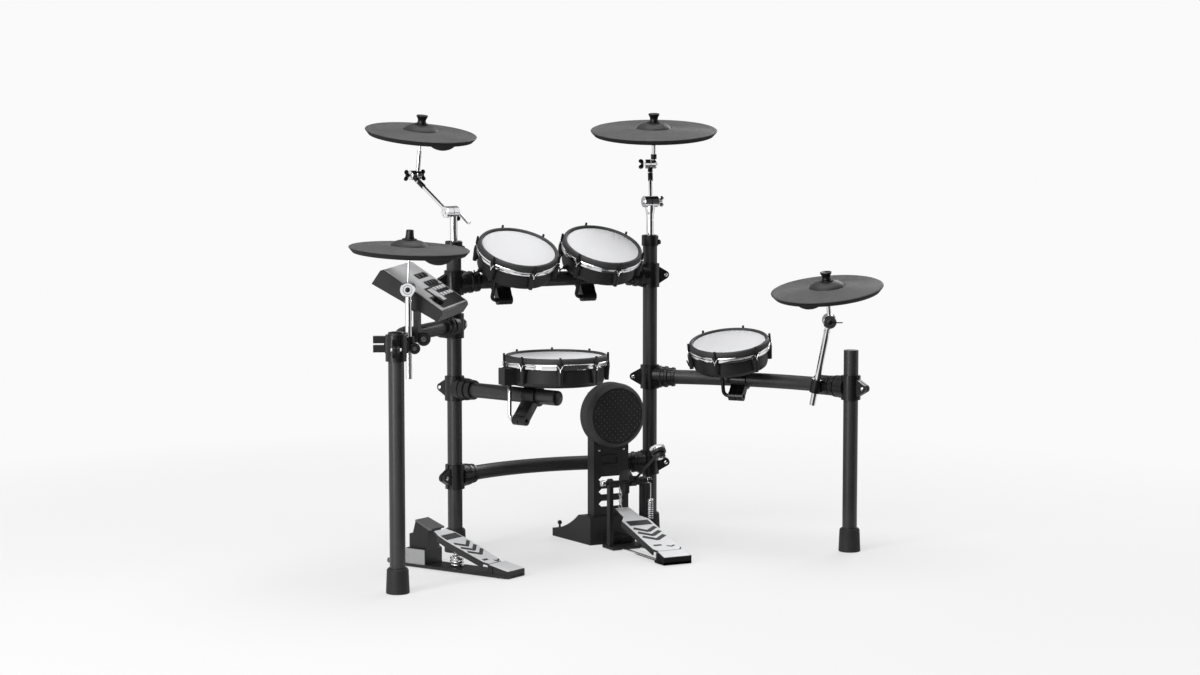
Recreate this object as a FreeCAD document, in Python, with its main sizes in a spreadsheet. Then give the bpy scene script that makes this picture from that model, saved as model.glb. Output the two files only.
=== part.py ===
import FreeCAD, Part
import math
import os
import re

import Sketcher
from FreeCAD import Placement, Rotation, Vector

# Electronic drum kit on a tube rack. Millimetres, +Z up, the drummer sits on the -Y side.
# The rack's inner posts stand on the X axis of the layout; the part's origin is on the floor
# under the middle of the kit.

SIZES = [
    ("origin_x", -10.217, "middle of the kit along X, from the middle between the inner posts"),
    ("origin_y", -178.515, "middle of the kit along Y, from the line of the inner posts"),
    ("fit_gap", 0.15, "radial gap where pieces are clamped together"),
    ("turn_gap", 0.3, "gap between pieces that move on each other"),
    ("tube_diameter", 40, "rack tube, outside"),
    ("tube_wall", 2, "rack tube, wall"),
    ("inner_spacing", 602, "between the axes of the inner posts"),
    ("wing_length", 605, "from an inner post's axis to the outer post's axis"),
    ("left_wing_angle", 52, "left wing, from the line of the inner posts"),
    ("right_wing_angle", 53.8, "right wing, from the line of the inner posts"),
    ("inner_post_top", 844, "top of the inner posts"),
    ("left_post_top", 656, "top of the left outer post"),
    ("right_post_top", 552, "top of the right outer post"),
    ("tom_bar_level", 736, "axis of the tom bar"),
    ("left_bar_level", 619, "axis of the left wing bar"),
    ("right_bar_level", 450, "axis of the right wing bar"),
    ("snare_bar_level", 449, "axis of the snare bar"),
    ("lower_bar_level", 207, "axis of the lower bar"),
    ("bar_start", 23, "end of a bar from the post's axis"),
    ("bar_straight", 80, "straight end of a bent bar, from the post's axis"),
    ("wing_bar_bend", 15, "half the bend of a wing bar"),
    ("lower_bar_bend", 25, "half the bend of the lower bar"),
    ("snare_bar_length", 366, "snare bar, from the post's axis"),
    ("snare_bar_turn", -66.7, "direction of the snare bar in plan"),
    ("foot_height", 64, "rubber foot"),
    ("foot_floor", 8, "rubber under the post"),
    ("foot_wide", 60, "rubber foot, bottom diameter"),
    ("foot_narrow", 55, "rubber foot, top diameter"),
    ("clamp_tall", 66, "rack clamp, height of the collar"),
    ("clamp_wall", 6.5, "rack clamp, wall round the post"),
    ("socket_reach", 72, "rack clamp, end of the socket from the post's axis"),
    ("socket_mouth", 53, "rack clamp, diameter at the socket's mouth"),
    ("socket_root", 62, "rack clamp, diameter at the socket's root"),
    ("ear_reach", 45, "rack clamp, bolt axis from the post's axis"),
    ("ear_radius", 11, "rack clamp, round nose of the ear"),
    ("ear_thick", 19, "rack clamp, both ears and the slit"),
    ("clamp_slit", 3, "slit that the bolt closes"),
    ("clamp_bolt", 6, "bolt of the rack clamps"),
    ("lock_tall", 30, "collar on the top of an inner post"),
    ("lock_wall", 3.5, "collar on the top of an inner post, wall"),
    ("mesh_small", 200, "mesh of the tom pads"),
    ("mesh_large", 250, "mesh of the snare pad"),
    ("tom_depth", 72, "tom pad, from the mesh to the bottom"),
    ("snare_depth", 73, "snare pad, from the mesh to the bottom"),
    ("shell_wall", 4, "pad shell, wall"),
    ("mesh_thick", 1.2, "mesh head"),
    ("tension_rod", 4.4, "tension rod, diameter"),
    ("lug_radius", 8, "lug of a pad shell"),
    ("tom_angle", 26, "tilt of the tom pads"),
    ("floor_angle", 13.7, "tilt of the floor tom pad"),
    ("tom_rise", 115, "tom mesh above the bar, along the pad's axis"),
    ("floor_rise", 127, "floor tom mesh above the bar, along the pad's axis"),
    ("snare_rise", 101, "snare mesh above the bar"),
    ("tom_share", 0.28125, "part of the free tom bar that is left of the toms' clamps"),
    ("tom_gap", 21, "between the hoops of the two toms"),
    ("hoop_reach", 17.5, "flange of a hoop beyond the mesh"),
    ("tom_forward", -27, "tom pad beside the bar"),
    ("tom_ahead", 20, "tom pad from its clamp, along the bar"),
    ("floor_ahead", -6, "floor tom pad from its clamp, along the bar"),
    ("snare_ahead", 18, "snare pad from its clamp, along the bar"),
    ("floor_along", 258, "floor tom along the right wing bar"),
    ("floor_forward", -51, "floor tom pad beside the bar"),
    ("snare_along", 301, "snare pad along its bar"),
    ("snare_aside", 72, "snare pad beside its bar"),
    ("pad_clamp_wide", 42, "pad clamp along the bar"),
    ("pad_clamp_wall", 7, "pad clamp, wall round the bar"),
    ("pad_rod", 10.5, "bent rod of a pad, diameter"),
    ("pad_rod_aside", -44, "bent rod beside the bar"),
    ("pad_rod_drop", -34, "bent rod's lower arm below the bar"),
    ("snare_rod_drop", -60, "the same of the snare pad"),
    ("snare_rod_aside", -52, "bent rod of the snare pad beside the bar"),
    ("pad_rod_side", 38, "upright arm from the middle of the clamp"),
    ("pad_rod_bend", 14, "bend of the rod"),
    ("crash_disc", 305, "crash and hi-hat pads, diameter"),
    ("ride_disc", 356, "ride pad, diameter"),
    ("bell_radius", 50, "bell of a cymbal pad"),
    ("bell_rise", 25, "top of the bell above the edge's line"),
    ("bump_deep", 24, "trigger housing under a cymbal pad"),
    ("seat_ball", 13, "felt ball that a cymbal pad rocks on, radius"),
    ("seat_level", 6, "middle of the felt ball above the edge's line"),
    ("stem_rod", 8, "upper rod, diameter"),
    ("stem_hole", 14, "hole of a cymbal pad, diameter"),
    ("tilter_radius", 15.5, "lower tilter drum"),
    ("tilter_half", 22, "half of a lower tilter drum"),
    ("upper_radius", 13, "upper tilter drum"),
    ("upper_half", 16, "half of an upper tilter drum"),
    ("pole_drum", 19, "tilter drum of a tube on a wing bar, radius"),
    ("pole_half", 18, "half of that drum"),
    ("pole_drum_turn", 243, "axis of that drum in plan, degrees from +X"),
    ("stand_tube", 20, "cymbal tubes, diameter"),
    ("pole_tube", 16, "cymbal tubes on the wing bars, diameter"),
    ("boom_rod", 9.5, "boom arm, diameter"),
    ("tube_in_post", 134, "cymbal tube inside its post"),
    ("crash_joint_up", 84, "crash stand, lower tilter above the post"),
    ("crash_boom_turn", 108.8, "crash boom in plan, degrees from +X"),
    ("crash_boom_reach", 139.6, "crash boom in plan"),
    ("crash_boom_rise", 95, "crash boom upward"),
    ("crash_stem", 116, "crash, upper tilter to the cymbal"),
    ("ride_joint_up", 98, "ride stand, lower tilter above the post"),
    ("ride_boom_turn", 86.4, "ride boom in plan, degrees from +X"),
    ("ride_boom_reach", 62, "ride boom in plan"),
    ("ride_boom_rise", 103, "ride boom upward"),
    ("ride_stem", 94, "ride, upper tilter to the cymbal"),
    ("hihat_along", 98, "hi-hat tube along the left wing bar"),
    ("hihat_low", 530, "lower end of the hi-hat tube"),
    ("hihat_joint_level", 759, "hi-hat tilter"),
    ("hihat_stem", 102, "hi-hat tilter to the cymbal"),
    ("side_from_post", 94.5, "side crash tube from the outer post, along the right wing bar"),
    ("side_lean", 13, "lean of the side crash tube along the bar"),
    ("side_below", 55, "side crash tube below the bar"),
    ("side_above", 187, "side crash tube above the bar"),
    ("side_stem", 90, "side crash tilter to the cymbal"),
    ("holder_aside", -31.5, "tube holder beside the bar"),
    ("module_along", 292, "module along the left wing bar"),
    ("module_wide", 300, "module along the bar"),
    ("module_deep", 195, "module along its slope"),
    ("module_back", 47, "module, thickness at the back"),
    ("module_front", 30, "module, thickness at the front"),
    ("module_slope", 34, "slope of the panel"),
    ("module_hinge_up", 78, "module hinge above the bar"),
    ("module_hinge_in", 30, "module hinge beside the bar"),
    ("hinge_radius", 10, "module hinge"),
    ("panel_thick", 2.5, "module panel"),
    ("key_travel", 1, "travel of a key"),
    ("kick_x", 138, "kick tower, middle"),
    ("kick_y", -78, "kick tower, front of the plate"),
    ("tower_wide", 108, "kick tower plate"),
    ("tower_deep", 38, "kick tower side flange"),
    ("tower_wall", 4, "kick tower sheet"),
    ("tower_top", 420, "kick tower, top"),
    ("rib_level", 232, "kick tower, U rib"),
    ("base_tall", 78, "kick tower base"),
    ("base_long", 186, "kick tower base, behind the plate"),
    ("kick_level", 360, "middle of the kick pad"),
    ("kick_radius", 90, "kick pad"),
    ("kick_deep", 40, "kick pad, thickness"),
    ("kick_skirt", 18, "kick pad, skirt round the tower"),
    ("kick_face_radius", 76, "kick pad, struck face"),
    ("axle_back", -90, "pedal axle from the tower plate"),
    ("axle_level", 184, "pedal axle"),
    ("axle_radius", 6, "pedal axle"),
    ("axle_long", 150, "pedal axle"),
    ("upright_x", 50, "pedal upright from the middle"),
    ("beater_reach", 174, "axle to the middle of the beater"),
    ("beater_rest", 56, "beater at rest, from upright"),
    ("beater_radius", 21, "beater"),
    ("beater_long", 36, "beater"),
    ("cam_radius", 32, "pedal cam"),
    ("heel_back", -348, "pedal heel hinge from the tower plate"),
    ("heel_level", 24, "heel hinge of both pedals"),
    ("board_long", 296, "kick footboard"),
    ("board_wide", 86, "kick footboard"),
    ("board_thick", 6, "footboards"),
    ("board_angle", 15.5, "kick footboard at rest"),
    ("kick_coil", 7, "kick pedal spring, coil radius"),
    ("kick_wire", 1.8, "kick pedal spring, wire"),
    ("kick_turns", 13, "kick pedal spring, turns"),
    ("hihat_x", -488.6, "hi-hat pedal, middle of the back edge"),
    ("hihat_y", -112.4, "hi-hat pedal, middle of the back edge"),
    ("hihat_turn", -62.3, "hi-hat pedal in plan"),
    ("hihat_long", 360, "hi-hat pedal plate"),
    ("hihat_wide", 76, "hi-hat pedal plate"),
    ("plate_thick", 8, "pedal plates"),
    ("pad_thick", 2, "rubber under the pedal plates"),
    ("hihat_pad_back", 20, "rubber pad from the back edge"),
    ("hihat_pad_front", 38, "rubber pad from the front edge"),
    ("hihat_pad_side", 15, "rubber pad from the side edge"),
    ("hihat_hinge", 300, "hi-hat heel hinge from the back edge"),
    ("hihat_board", 209, "hi-hat footboard"),
    ("hihat_board_wide", 80, "hi-hat footboard"),
    ("hihat_angle", 20.5, "hi-hat footboard at rest"),
    ("hihat_coil", 17, "hi-hat pedal spring, coil radius"),
    ("hihat_wire", 5, "hi-hat pedal spring, wire"),
    ("hihat_turns", 4, "hi-hat pedal spring, turns"),
    ("hihat_spring_at", 165, "hi-hat pedal spring from the back edge"),
    ("box_back", 20, "sensor housing from the back edge"),
    ("box_long", 66, "sensor housing"),
    ("box_wide", 72, "sensor housing"),
    ("box_top", 52, "sensor housing, top"),
    ("hood_top", 127, "hood on the sensor housing, back edge"),
    ("hood_front", 108, "hood, front edge"),
    ("hood_wide", 54, "hood"),
]

UP = Vector(0, 0, 1)
ALIASES = {row[0] for row in SIZES}

doc = FreeCAD.newDocument("drum_kit")
sheet = doc.addObject("Spreadsheet::Sheet", "Sizes")
for row, (alias, value, note) in enumerate(SIZES, 1):
    sheet.set(f"A{row}", alias)
    sheet.set(f"B{row}", str(value))
    sheet.setAlias(f"B{row}", alias)
    sheet.set(f"C{row}", note)
doc.recompute()


def bound(text):
    """The text as an expression on the sheet's cells."""
    return re.sub(r"[a-z][a-z_]*", lambda m: "Sizes." + m.group() if m.group() in ALIASES else m.group(), text)


def size(text):
    """The number that an expression on the sheet has now."""
    answer = sheet.evalExpression(bound(text))
    return float(getattr(answer, "Value", answer))


def at(x, y, z):
    """A point of the layout, from the middle between the inner posts, in the part's own frame."""
    return Vector(x - size("origin_x"), y - size("origin_y"), z)


def plan(angle):
    """The level direction at an angle from +X."""
    return Vector(math.cos(math.radians(angle)), math.sin(math.radians(angle)), 0)


def frame(point, along, up=UP):
    """A placement whose X runs along and whose Z is up."""
    across = up.cross(along)
    return Placement(point, Rotation(along, across, up, "ZXY"))


def pointing(point, direction):
    """A placement whose Z runs in the direction."""
    return Placement(point, Rotation(UP, direction))


def moved(x, y, z):
    return Placement(Vector(x, y, z), Rotation())


def new_sketch(body, role):
    sketch = body.newObject("Sketcher::SketchObject", body.Name + "_outline")
    plane = [item for item in body.Origin.OriginFeatures if item.Role == role][0]
    sketch.AttachmentSupport = [(plane, "")]
    sketch.MapMode = "FlatFace"
    return sketch


def draw(sketch, outline, closed=True):
    """Draws corners (x, y), each held by two bound distances; (x, y, radius, side) is reached by an arc."""
    points = [Vector(size(corner[0]), size(corner[1]), 0) for corner in outline]
    count = len(points)
    pieces = count if closed else count - 1
    base = sketch.GeometryCount
    ends = []
    radii = []
    for i in range(pieces):
        start, end = points[i], points[(i + 1) % count]
        corner = outline[(i + 1) % count]
        if len(corner) == 2:
            sketch.addGeometry(Part.LineSegment(start, end), False)
            ends.append((1, 2))
            continue
        radius = size(corner[2])
        chord = end - start
        left = Vector(-chord.y, chord.x, 0).normalize() * corner[3]
        rise = math.sqrt(max(radius ** 2 - chord.Length ** 2 / 4, 0))
        middle = (start + end) * 0.5 + left * (rise - radius)
        leftward = corner[3] > 0
        sketch.addGeometry(Part.Arc(start, middle, end) if leftward else Part.Arc(end, middle, start), False)
        ends.append((1, 2) if leftward else (2, 1))
        radii.append((base + i, corner[2]))
    for i in range(pieces if closed else pieces - 1):
        nxt = (i + 1) % pieces
        sketch.addConstraint(Sketcher.Constraint("Coincident", base + i, ends[i][1], base + nxt, ends[nxt][0]))
    for i, point in enumerate(points):
        piece, end = (base + i, ends[i][0]) if i < pieces else (base + i - 1, ends[i - 1][1])
        across, upward = outline[i][:2]
        for kind, number, text in (("DistanceX", point.x, across), ("DistanceY", point.y, upward)):
            held = sketch.addConstraint(Sketcher.Constraint(kind, -1, 1, piece, end, number))
            sketch.setExpression(f"Constraints[{held}]", bound(text))
    for piece, text in radii:
        held = sketch.addConstraint(Sketcher.Constraint("Radius", piece, size(text)))
        sketch.setExpression(f"Constraints[{held}]", bound(text))


def draw_circle(sketch, x, y, radius):
    piece = sketch.addGeometry(Part.Circle(Vector(size(x), size(y), 0), UP, size(radius)), False)
    for kind, text in (("DistanceX", x), ("DistanceY", y)):
        held = sketch.addConstraint(Sketcher.Constraint(kind, -1, 1, piece, 3, size(text)))
        sketch.setExpression(f"Constraints[{held}]", bound(text))
    held = sketch.addConstraint(Sketcher.Constraint("Radius", piece, size(radius)))
    sketch.setExpression(f"Constraints[{held}]", bound(radius))


def turned(name, outline, where=Placement()):
    """A turned piece: corners (radius, height) round the local Z."""
    body = doc.addObject("PartDesign::Body", name)
    sketch = new_sketch(body, "XZ_Plane")
    draw(sketch, outline)
    turn = body.newObject("PartDesign::Revolution", name + "_turn")
    turn.Profile = sketch
    turn.ReferenceAxis = (sketch, ["V_Axis"])
    turn.Angle = 360
    body.Placement = where
    return body


def plate(name, outline, thick, where=Placement(), holes=()):
    """A flat piece: an outline in the local XY, thick along Z; holes are outlines or (x, y, radius)."""
    body = doc.addObject("PartDesign::Body", name)
    sketch = new_sketch(body, "XY_Plane")
    draw(sketch, outline)
    for hole in holes:
        if isinstance(hole, list):
            draw(sketch, hole)
        else:
            draw_circle(sketch, *hole)
    pad = body.newObject("PartDesign::Pad", name + "_pad")
    pad.Profile = sketch
    pad.setExpression("Length", bound(thick))
    body.Placement = where
    return body


def bent(name, path, radii, where=Placement()):
    """A bent tube or rod along a path in the local XY that leaves the origin along X."""
    body = doc.addObject("PartDesign::Body", name)
    way = new_sketch(body, "XY_Plane")
    draw(way, path, closed=False)
    ring = new_sketch(body, "YZ_Plane")
    for radius in radii:
        draw_circle(ring, "0", "0", radius)
    doc.recompute()
    pipe = body.newObject("PartDesign::AdditivePipe", name + "_pipe")
    pipe.Profile = ring
    pipe.Spine = (way, [f"Edge{i + 1}" for i in range(len(way.Geometry))])
    body.Placement = where
    return body


def solid(kind, name, where=Placement(), **sizes):
    """A primitive with its sizes bound to the sheet."""
    item = doc.addObject("Part::" + kind, name)
    for field, text in sizes.items():
        item.setExpression(field, bound(text))
    item.Placement = where
    return item


def cylinder(name, radius, height, where=Placement()):
    return solid("Cylinder", name, where, Radius=radius, Height=height)


def block(name, long, wide, tall, where=Placement()):
    """A box that stands on the middle of its lower face."""
    shift = moved(-size(long) / 2, -size(wide) / 2, 0)
    return solid("Box", name, where.multiply(shift), Length=long, Width=wide, Height=tall)


def stick(name, start, end, radius):
    """A round bar between two points."""
    return cylinder(name, radius, str((end - start).Length), pointing(start, end - start))


def joined(name, pieces):
    item = doc.addObject("Part::MultiFuse", name)
    item.Shapes = pieces
    item.Refine = True
    return item


def less(name, base, *tools):
    """The base without the tools."""
    item = doc.addObject("Part::Cut", name)
    item.Base = base
    item.Tool = tools[0] if len(tools) == 1 else group(name + "_tools", tools)
    item.Refine = True
    return item


def group(name, pieces):
    item = doc.addObject("Part::Compound", name)
    item.Links = list(pieces)
    return item


def copies(original, places):
    """The same piece again at each place."""
    links = []
    for where in places:
        link = doc.addObject("App::Link", original.Name + "_copy")
        link.LinkedObject = original
        link.Placement = where
        links.append(link)
    return links


NODES = {}


def node(name, item):
    """Keeps a finished piece under the name of its file."""
    item.Label = name
    NODES[name] = item
    return item


ALONG_X = Placement(Vector(), Rotation(Vector(0, 1, 0), 90))
ON_SIDE = Rotation(Vector(0, 1, 0), Vector(0, 0, 1), Vector(1, 0, 0), "XYZ")
BACKWARD = Rotation(Vector(-1, 0, 0), Vector(0, 0, 1), Vector(0, 1, 0), "XYZ")


def tube(name, length, where, diameter="tube_diameter", wall="tube_wall", closed=False):
    """A round tube on the local Z, closed at its upper end if asked."""
    outer = f"{diameter} / 2"
    inner = f"{diameter} / 2 - {wall}"
    outline = [(inner, "0"), (outer, "0"), (outer, length)]
    if closed:
        outline += [("0", length), ("0", f"{length} - {wall}"), (inner, f"{length} - {wall}")]
    else:
        outline += [(inner, length)]
    return turned(name, outline, where)


class BarLine:
    """The axis of a bar from one post to the next; a bent bar bows to the left of its way."""

    def __init__(self, start, end, bend=0.0):
        self.bend = math.radians(bend)
        self.straight = size("bar_straight")
        chord = end - start
        angle = math.degrees(math.atan2(chord.y, chord.x))
        self.start = start
        self.end = end
        self.leave = plan(angle + bend)
        self.arrive = plan(angle - bend)
        self.length = chord.Length
        if bend:
            half = chord.Length / 2 - self.straight * math.cos(self.bend)
            self.radius = half / math.sin(self.bend)
            self.length = 2 * self.straight + 2 * self.radius * self.bend

    def spot(self, along):
        """The point on the axis and the bar's direction there, at a length from the start."""
        if not self.bend or along < self.straight:
            return self.start + self.leave * along, self.leave
        turn = (along - self.straight) / self.radius
        across = UP.cross(self.leave)
        ahead = self.leave * (self.straight + self.radius * math.sin(turn))
        point = self.start + ahead - across * self.radius * (1 - math.cos(turn))
        return point, self.leave * math.cos(turn) - across * math.sin(turn)


def bent_bar(name, line, chord, bend):
    """The bent tube of a bar line."""
    radius = f"({chord} / 2 - bar_straight * cos({bend})) / sin({bend})"
    near = "bar_straight - bar_start"
    far = f"{near} + {radius} * sin(2 * {bend})"
    drop = f"-{radius} * (1 - cos(2 * {bend}))"
    path = [("0", "0"), (near, "0"), (far, drop, radius, -1),
            (f"{far} + ({near}) * cos(2 * {bend})", f"{drop} - ({near}) * sin(2 * {bend})")]
    start = line.start + line.leave * size("bar_start")
    return bent(name, path, ["tube_diameter / 2", "tube_diameter / 2 - tube_wall"], frame(start, line.leave))


def rack_clamp():
    """The moulded joint of a bar and a post: split collar with ears, and a ribbed socket along X."""
    collar = cylinder("clamp_collar", "tube_diameter / 2 + clamp_wall", "clamp_tall",
                      moved(0, 0, -size("clamp_tall") / 2))
    socket = turned("clamp_socket", [
        ("0", "12"), ("socket_root / 2", "12"), ("socket_root / 2", "socket_reach * 0.46"),
        ("socket_root / 2 - 2.6", "socket_reach * 0.49"), ("socket_root / 2 - 2.6", "socket_reach * 0.6"),
        ("socket_root / 2 - 0.8", "socket_reach * 0.62"), ("socket_root / 2 - 1.6", "socket_reach * 0.72"),
        ("socket_mouth / 2 - 0.8", "socket_reach * 0.75"), ("socket_mouth / 2 - 1.2", "socket_reach * 0.87"),
        ("socket_mouth / 2 + 0.8", "socket_reach * 0.89"), ("socket_mouth / 2", "socket_reach"),
        ("0", "socket_reach")], ALONG_X)
    ear = plate("clamp_ear", [
        ("tube_diameter / 2", "-clamp_tall * 0.4"), ("ear_reach + ear_radius * 0.6", "-ear_radius * 0.8"),
        ("ear_reach + ear_radius * 0.6", "ear_radius * 0.8", "ear_radius", 1),
        ("tube_diameter / 2", "clamp_tall * 0.4")],
        "ear_thick", Placement(Vector(0, -size("ear_thick") / 2, 0), BACKWARD),
        holes=[("ear_reach", "0", "clamp_bolt / 2 + fit_gap")])
    post = cylinder("clamp_post_bore", "tube_diameter / 2 + turn_gap", "clamp_tall + 4",
                    moved(0, 0, -size("clamp_tall") / 2 - 2))
    bar = cylinder("clamp_bar_bore", "tube_diameter / 2 + fit_gap", "socket_reach - bar_start + 2",
                   moved(size("bar_start - fit_gap"), 0, 0).multiply(ALONG_X))
    slit_middle = size("(ear_reach + ear_radius + tube_diameter / 2) / 2")
    slit = block("clamp_slit_cut", "ear_reach + ear_radius - tube_diameter / 2 + 8", "clamp_slit",
                 "clamp_tall + 4", moved(-slit_middle, 0, -size("clamp_tall") / 2 - 2))
    return less("rack_clamp", joined("clamp_block", [collar, socket, ear]), post, bar, slit)


def post_lock():
    """The collar on an inner post's top, with its bush for the cymbal tube."""
    hole = "stand_tube / 2 + turn_gap"
    bush = "tube_diameter / 2 - tube_wall - fit_gap"
    sleeve = "tube_diameter / 2 + fit_gap"
    outer = "tube_diameter / 2 + lock_wall"
    return turned("post_lock", [
        (hole, "-lock_tall * 1.4"), (bush, "-lock_tall * 1.4"), (bush, "fit_gap"), (sleeve, "fit_gap"),
        (sleeve, "5 - lock_tall"), (outer, "5 - lock_tall"), (outer, "3"), (f"{outer} - 2", "5"), (hole, "5")])


def rubber_foot():
    sleeve = "tube_diameter / 2 + fit_gap"
    return turned("rubber_foot", [
        ("0", "0"), ("foot_wide / 2 - 2", "0"), ("foot_wide / 2", "2"), ("foot_narrow / 2", "foot_height - 4"),
        ("foot_narrow / 2 - 3", "foot_height"), (sleeve, "foot_height"), (sleeve, "foot_floor"),
        ("0", "foot_floor")])


def bar_ring(name, wide, gap="fit_gap"):
    """The block and the bore of a clamp round a bar along the local X."""
    start = moved(-size(wide) / 2, 0, 0)
    ring = cylinder(name + "_ring", "tube_diameter / 2 + pad_clamp_wall", wide, start.multiply(ALONG_X))
    bore = cylinder(name + "_bore", f"tube_diameter / 2 + {gap}", f"{wide} + 4",
                    moved(-size(wide) / 2 - 2, 0, 0).multiply(ALONG_X))
    return ring, bore


def tube_holder(name, where, lean="0"):
    """The holder of a cymbal tube on a wing bar, split on its outer side; the tube may lean along the bar."""
    ring, bore = bar_ring(name, "pad_clamp_wide", "turn_gap * 2")
    tilt = Placement(Vector(0, size("holder_aside"), 0), Rotation(Vector(0, 1, 0), size(lean)))
    eye = cylinder(name + "_eye", "pole_tube / 2 + pad_clamp_wall", "38", tilt.multiply(moved(0, 0, -19)))
    web = block(name + "_web", "26", "-holder_aside", "32", moved(0, size("holder_aside") / 2, -16))
    jaw = block(name + "_jaw", "26", "38", "40", moved(0, 39, -20))
    slit = block(name + "_slit", "60", "44", "clamp_slit * 2", moved(0, 40, -size("clamp_slit")))
    bolt = cylinder(name + "_bolt_hole", "clamp_bolt / 2 + fit_gap", "60", moved(0, 47, -30))
    hole = cylinder(name + "_hole", "pole_tube / 2 + turn_gap", "60", tilt.multiply(moved(0, 0, -30)))
    whole = less(name, joined(name + "_block", [ring, eye, web, jaw]), bore, hole, slit, bolt)
    whole.Placement = where
    return whole


def module_bracket(where):
    """The clamp and the upright arm that carry the module's hinge."""
    ring, bore = bar_ring("bracket", "pad_clamp_wide", "turn_gap * 2")
    inward, up = -size("module_hinge_in"), size("module_hinge_up")
    arm = block("bracket_arm", "34", "13", "module_hinge_up + 14", moved(0, inward, -14))
    web = block("bracket_web", "34", "module_hinge_in", "28", moved(0, inward / 2, -14))
    barrel = cylinder("bracket_barrel", "hinge_radius", "34", moved(-17, inward, up).multiply(ALONG_X))
    hole = cylinder("bracket_hole", "4 + turn_gap", "40", moved(-20, inward, up).multiply(ALONG_X))
    whole = less("module_bracket", joined("bracket_block", [ring, arm, web, barrel]), bore, hole)
    whole.Placement = where
    return whole


HALF = size("inner_spacing") / 2
LEFT_WAY = plan(180 + size("left_wing_angle"))
RIGHT_WAY = plan(-size("right_wing_angle"))


def left_inner(level):
    return at(-HALF, 0, size(level))


def right_inner(level):
    return at(HALF, 0, size(level))


def left_outer(level):
    return left_inner(level) + LEFT_WAY * size("wing_length")


def right_outer(level):
    return right_inner(level) + RIGHT_WAY * size("wing_length")


CLAMP = rack_clamp()
FOOT = rubber_foot()
LOCK = post_lock()

TOM_LINE = BarLine(left_inner("tom_bar_level"), right_inner("tom_bar_level"))
LOWER_LINE = BarLine(left_inner("lower_bar_level"), right_inner("lower_bar_level"), size("lower_bar_bend"))
LEFT_LINE = BarLine(left_outer("left_bar_level"), left_inner("left_bar_level"), size("wing_bar_bend"))
RIGHT_LINE = BarLine(right_inner("right_bar_level"), right_outer("right_bar_level"), size("wing_bar_bend"))
SNARE_START = left_inner("snare_bar_level")
SNARE_WAY = plan(size("snare_bar_turn"))
SNARE_LINE = BarLine(SNARE_START, SNARE_START + SNARE_WAY * size("snare_bar_length"))


def clamp_places(line):
    return [frame(line.start, line.leave), frame(line.end, line.arrive * -1)]


def build_rack():
    """The fixed middle of the rack: posts, bars, clamps and feet."""
    length = "inner_post_top - foot_floor"
    posts = [tube("inner_post", length, pointing(spot("foot_floor"), UP)) for spot in (left_inner, right_inner)]
    node("inner_posts", group("inner_posts", posts))
    start = TOM_LINE.start + TOM_LINE.leave * size("bar_start")
    node("tom_bar", tube("tom_bar", "inner_spacing - 2 * bar_start", pointing(start, TOM_LINE.leave)))
    node("lower_bar", bent_bar("lower_bar", LOWER_LINE, "inner_spacing", "lower_bar_bend"))
    clamps = copies(CLAMP, clamp_places(TOM_LINE) + clamp_places(LOWER_LINE))
    locks = copies(LOCK, [pointing(spot("inner_post_top"), UP) for spot in (left_inner, right_inner)])
    node("rack_clamps", group("rack_clamps", clamps + locks))
    feet = copies(FOOT, [pointing(at(side * HALF, 0, 0), UP) for side in (-1, 1)])
    node("rack_feet", group("rack_feet", feet))


def build_wing(side, line, outer_spot, top, extra):
    """One wing: bar, outer post, its clamps and its foot."""
    node(f"{side}_wing_bar", bent_bar(f"{side}_wing_bar", line, "wing_length", "wing_bar_bend"))
    foot_point = outer_spot("foot_floor")
    post = tube(f"{side}_outer_post", f"{top} - foot_floor", pointing(foot_point, UP), closed=True)
    node(f"{side}_outer_post", post)
    clamps = copies(CLAMP, clamp_places(line))
    node(f"{side}_wing_clamps", group(f"{side}_wing_clamps", clamps + extra))
    ground = Vector(foot_point.x, foot_point.y, 0)
    node(f"{side}_foot", copies(FOOT, [pointing(ground, UP)])[0])


def build_snare_arm():
    start = SNARE_LINE.start + SNARE_LINE.leave * size("bar_start")
    length = "snare_bar_length - bar_start"
    node("snare_bar", tube("snare_bar", length, pointing(start, SNARE_LINE.leave), closed=True))
    node("snare_arm_clamp", copies(CLAMP, clamp_places(SNARE_LINE)[:1])[0])


def ring_places(where, count, radius, level, first=0.0):
    """Places on a circle round a placement's Z."""
    places = []
    for index in range(count):
        turn = Placement(Vector(), Rotation(UP, first + index * 360.0 / count))
        places.append(where.multiply(turn).multiply(moved(radius, 0, level)))
    return places


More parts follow.
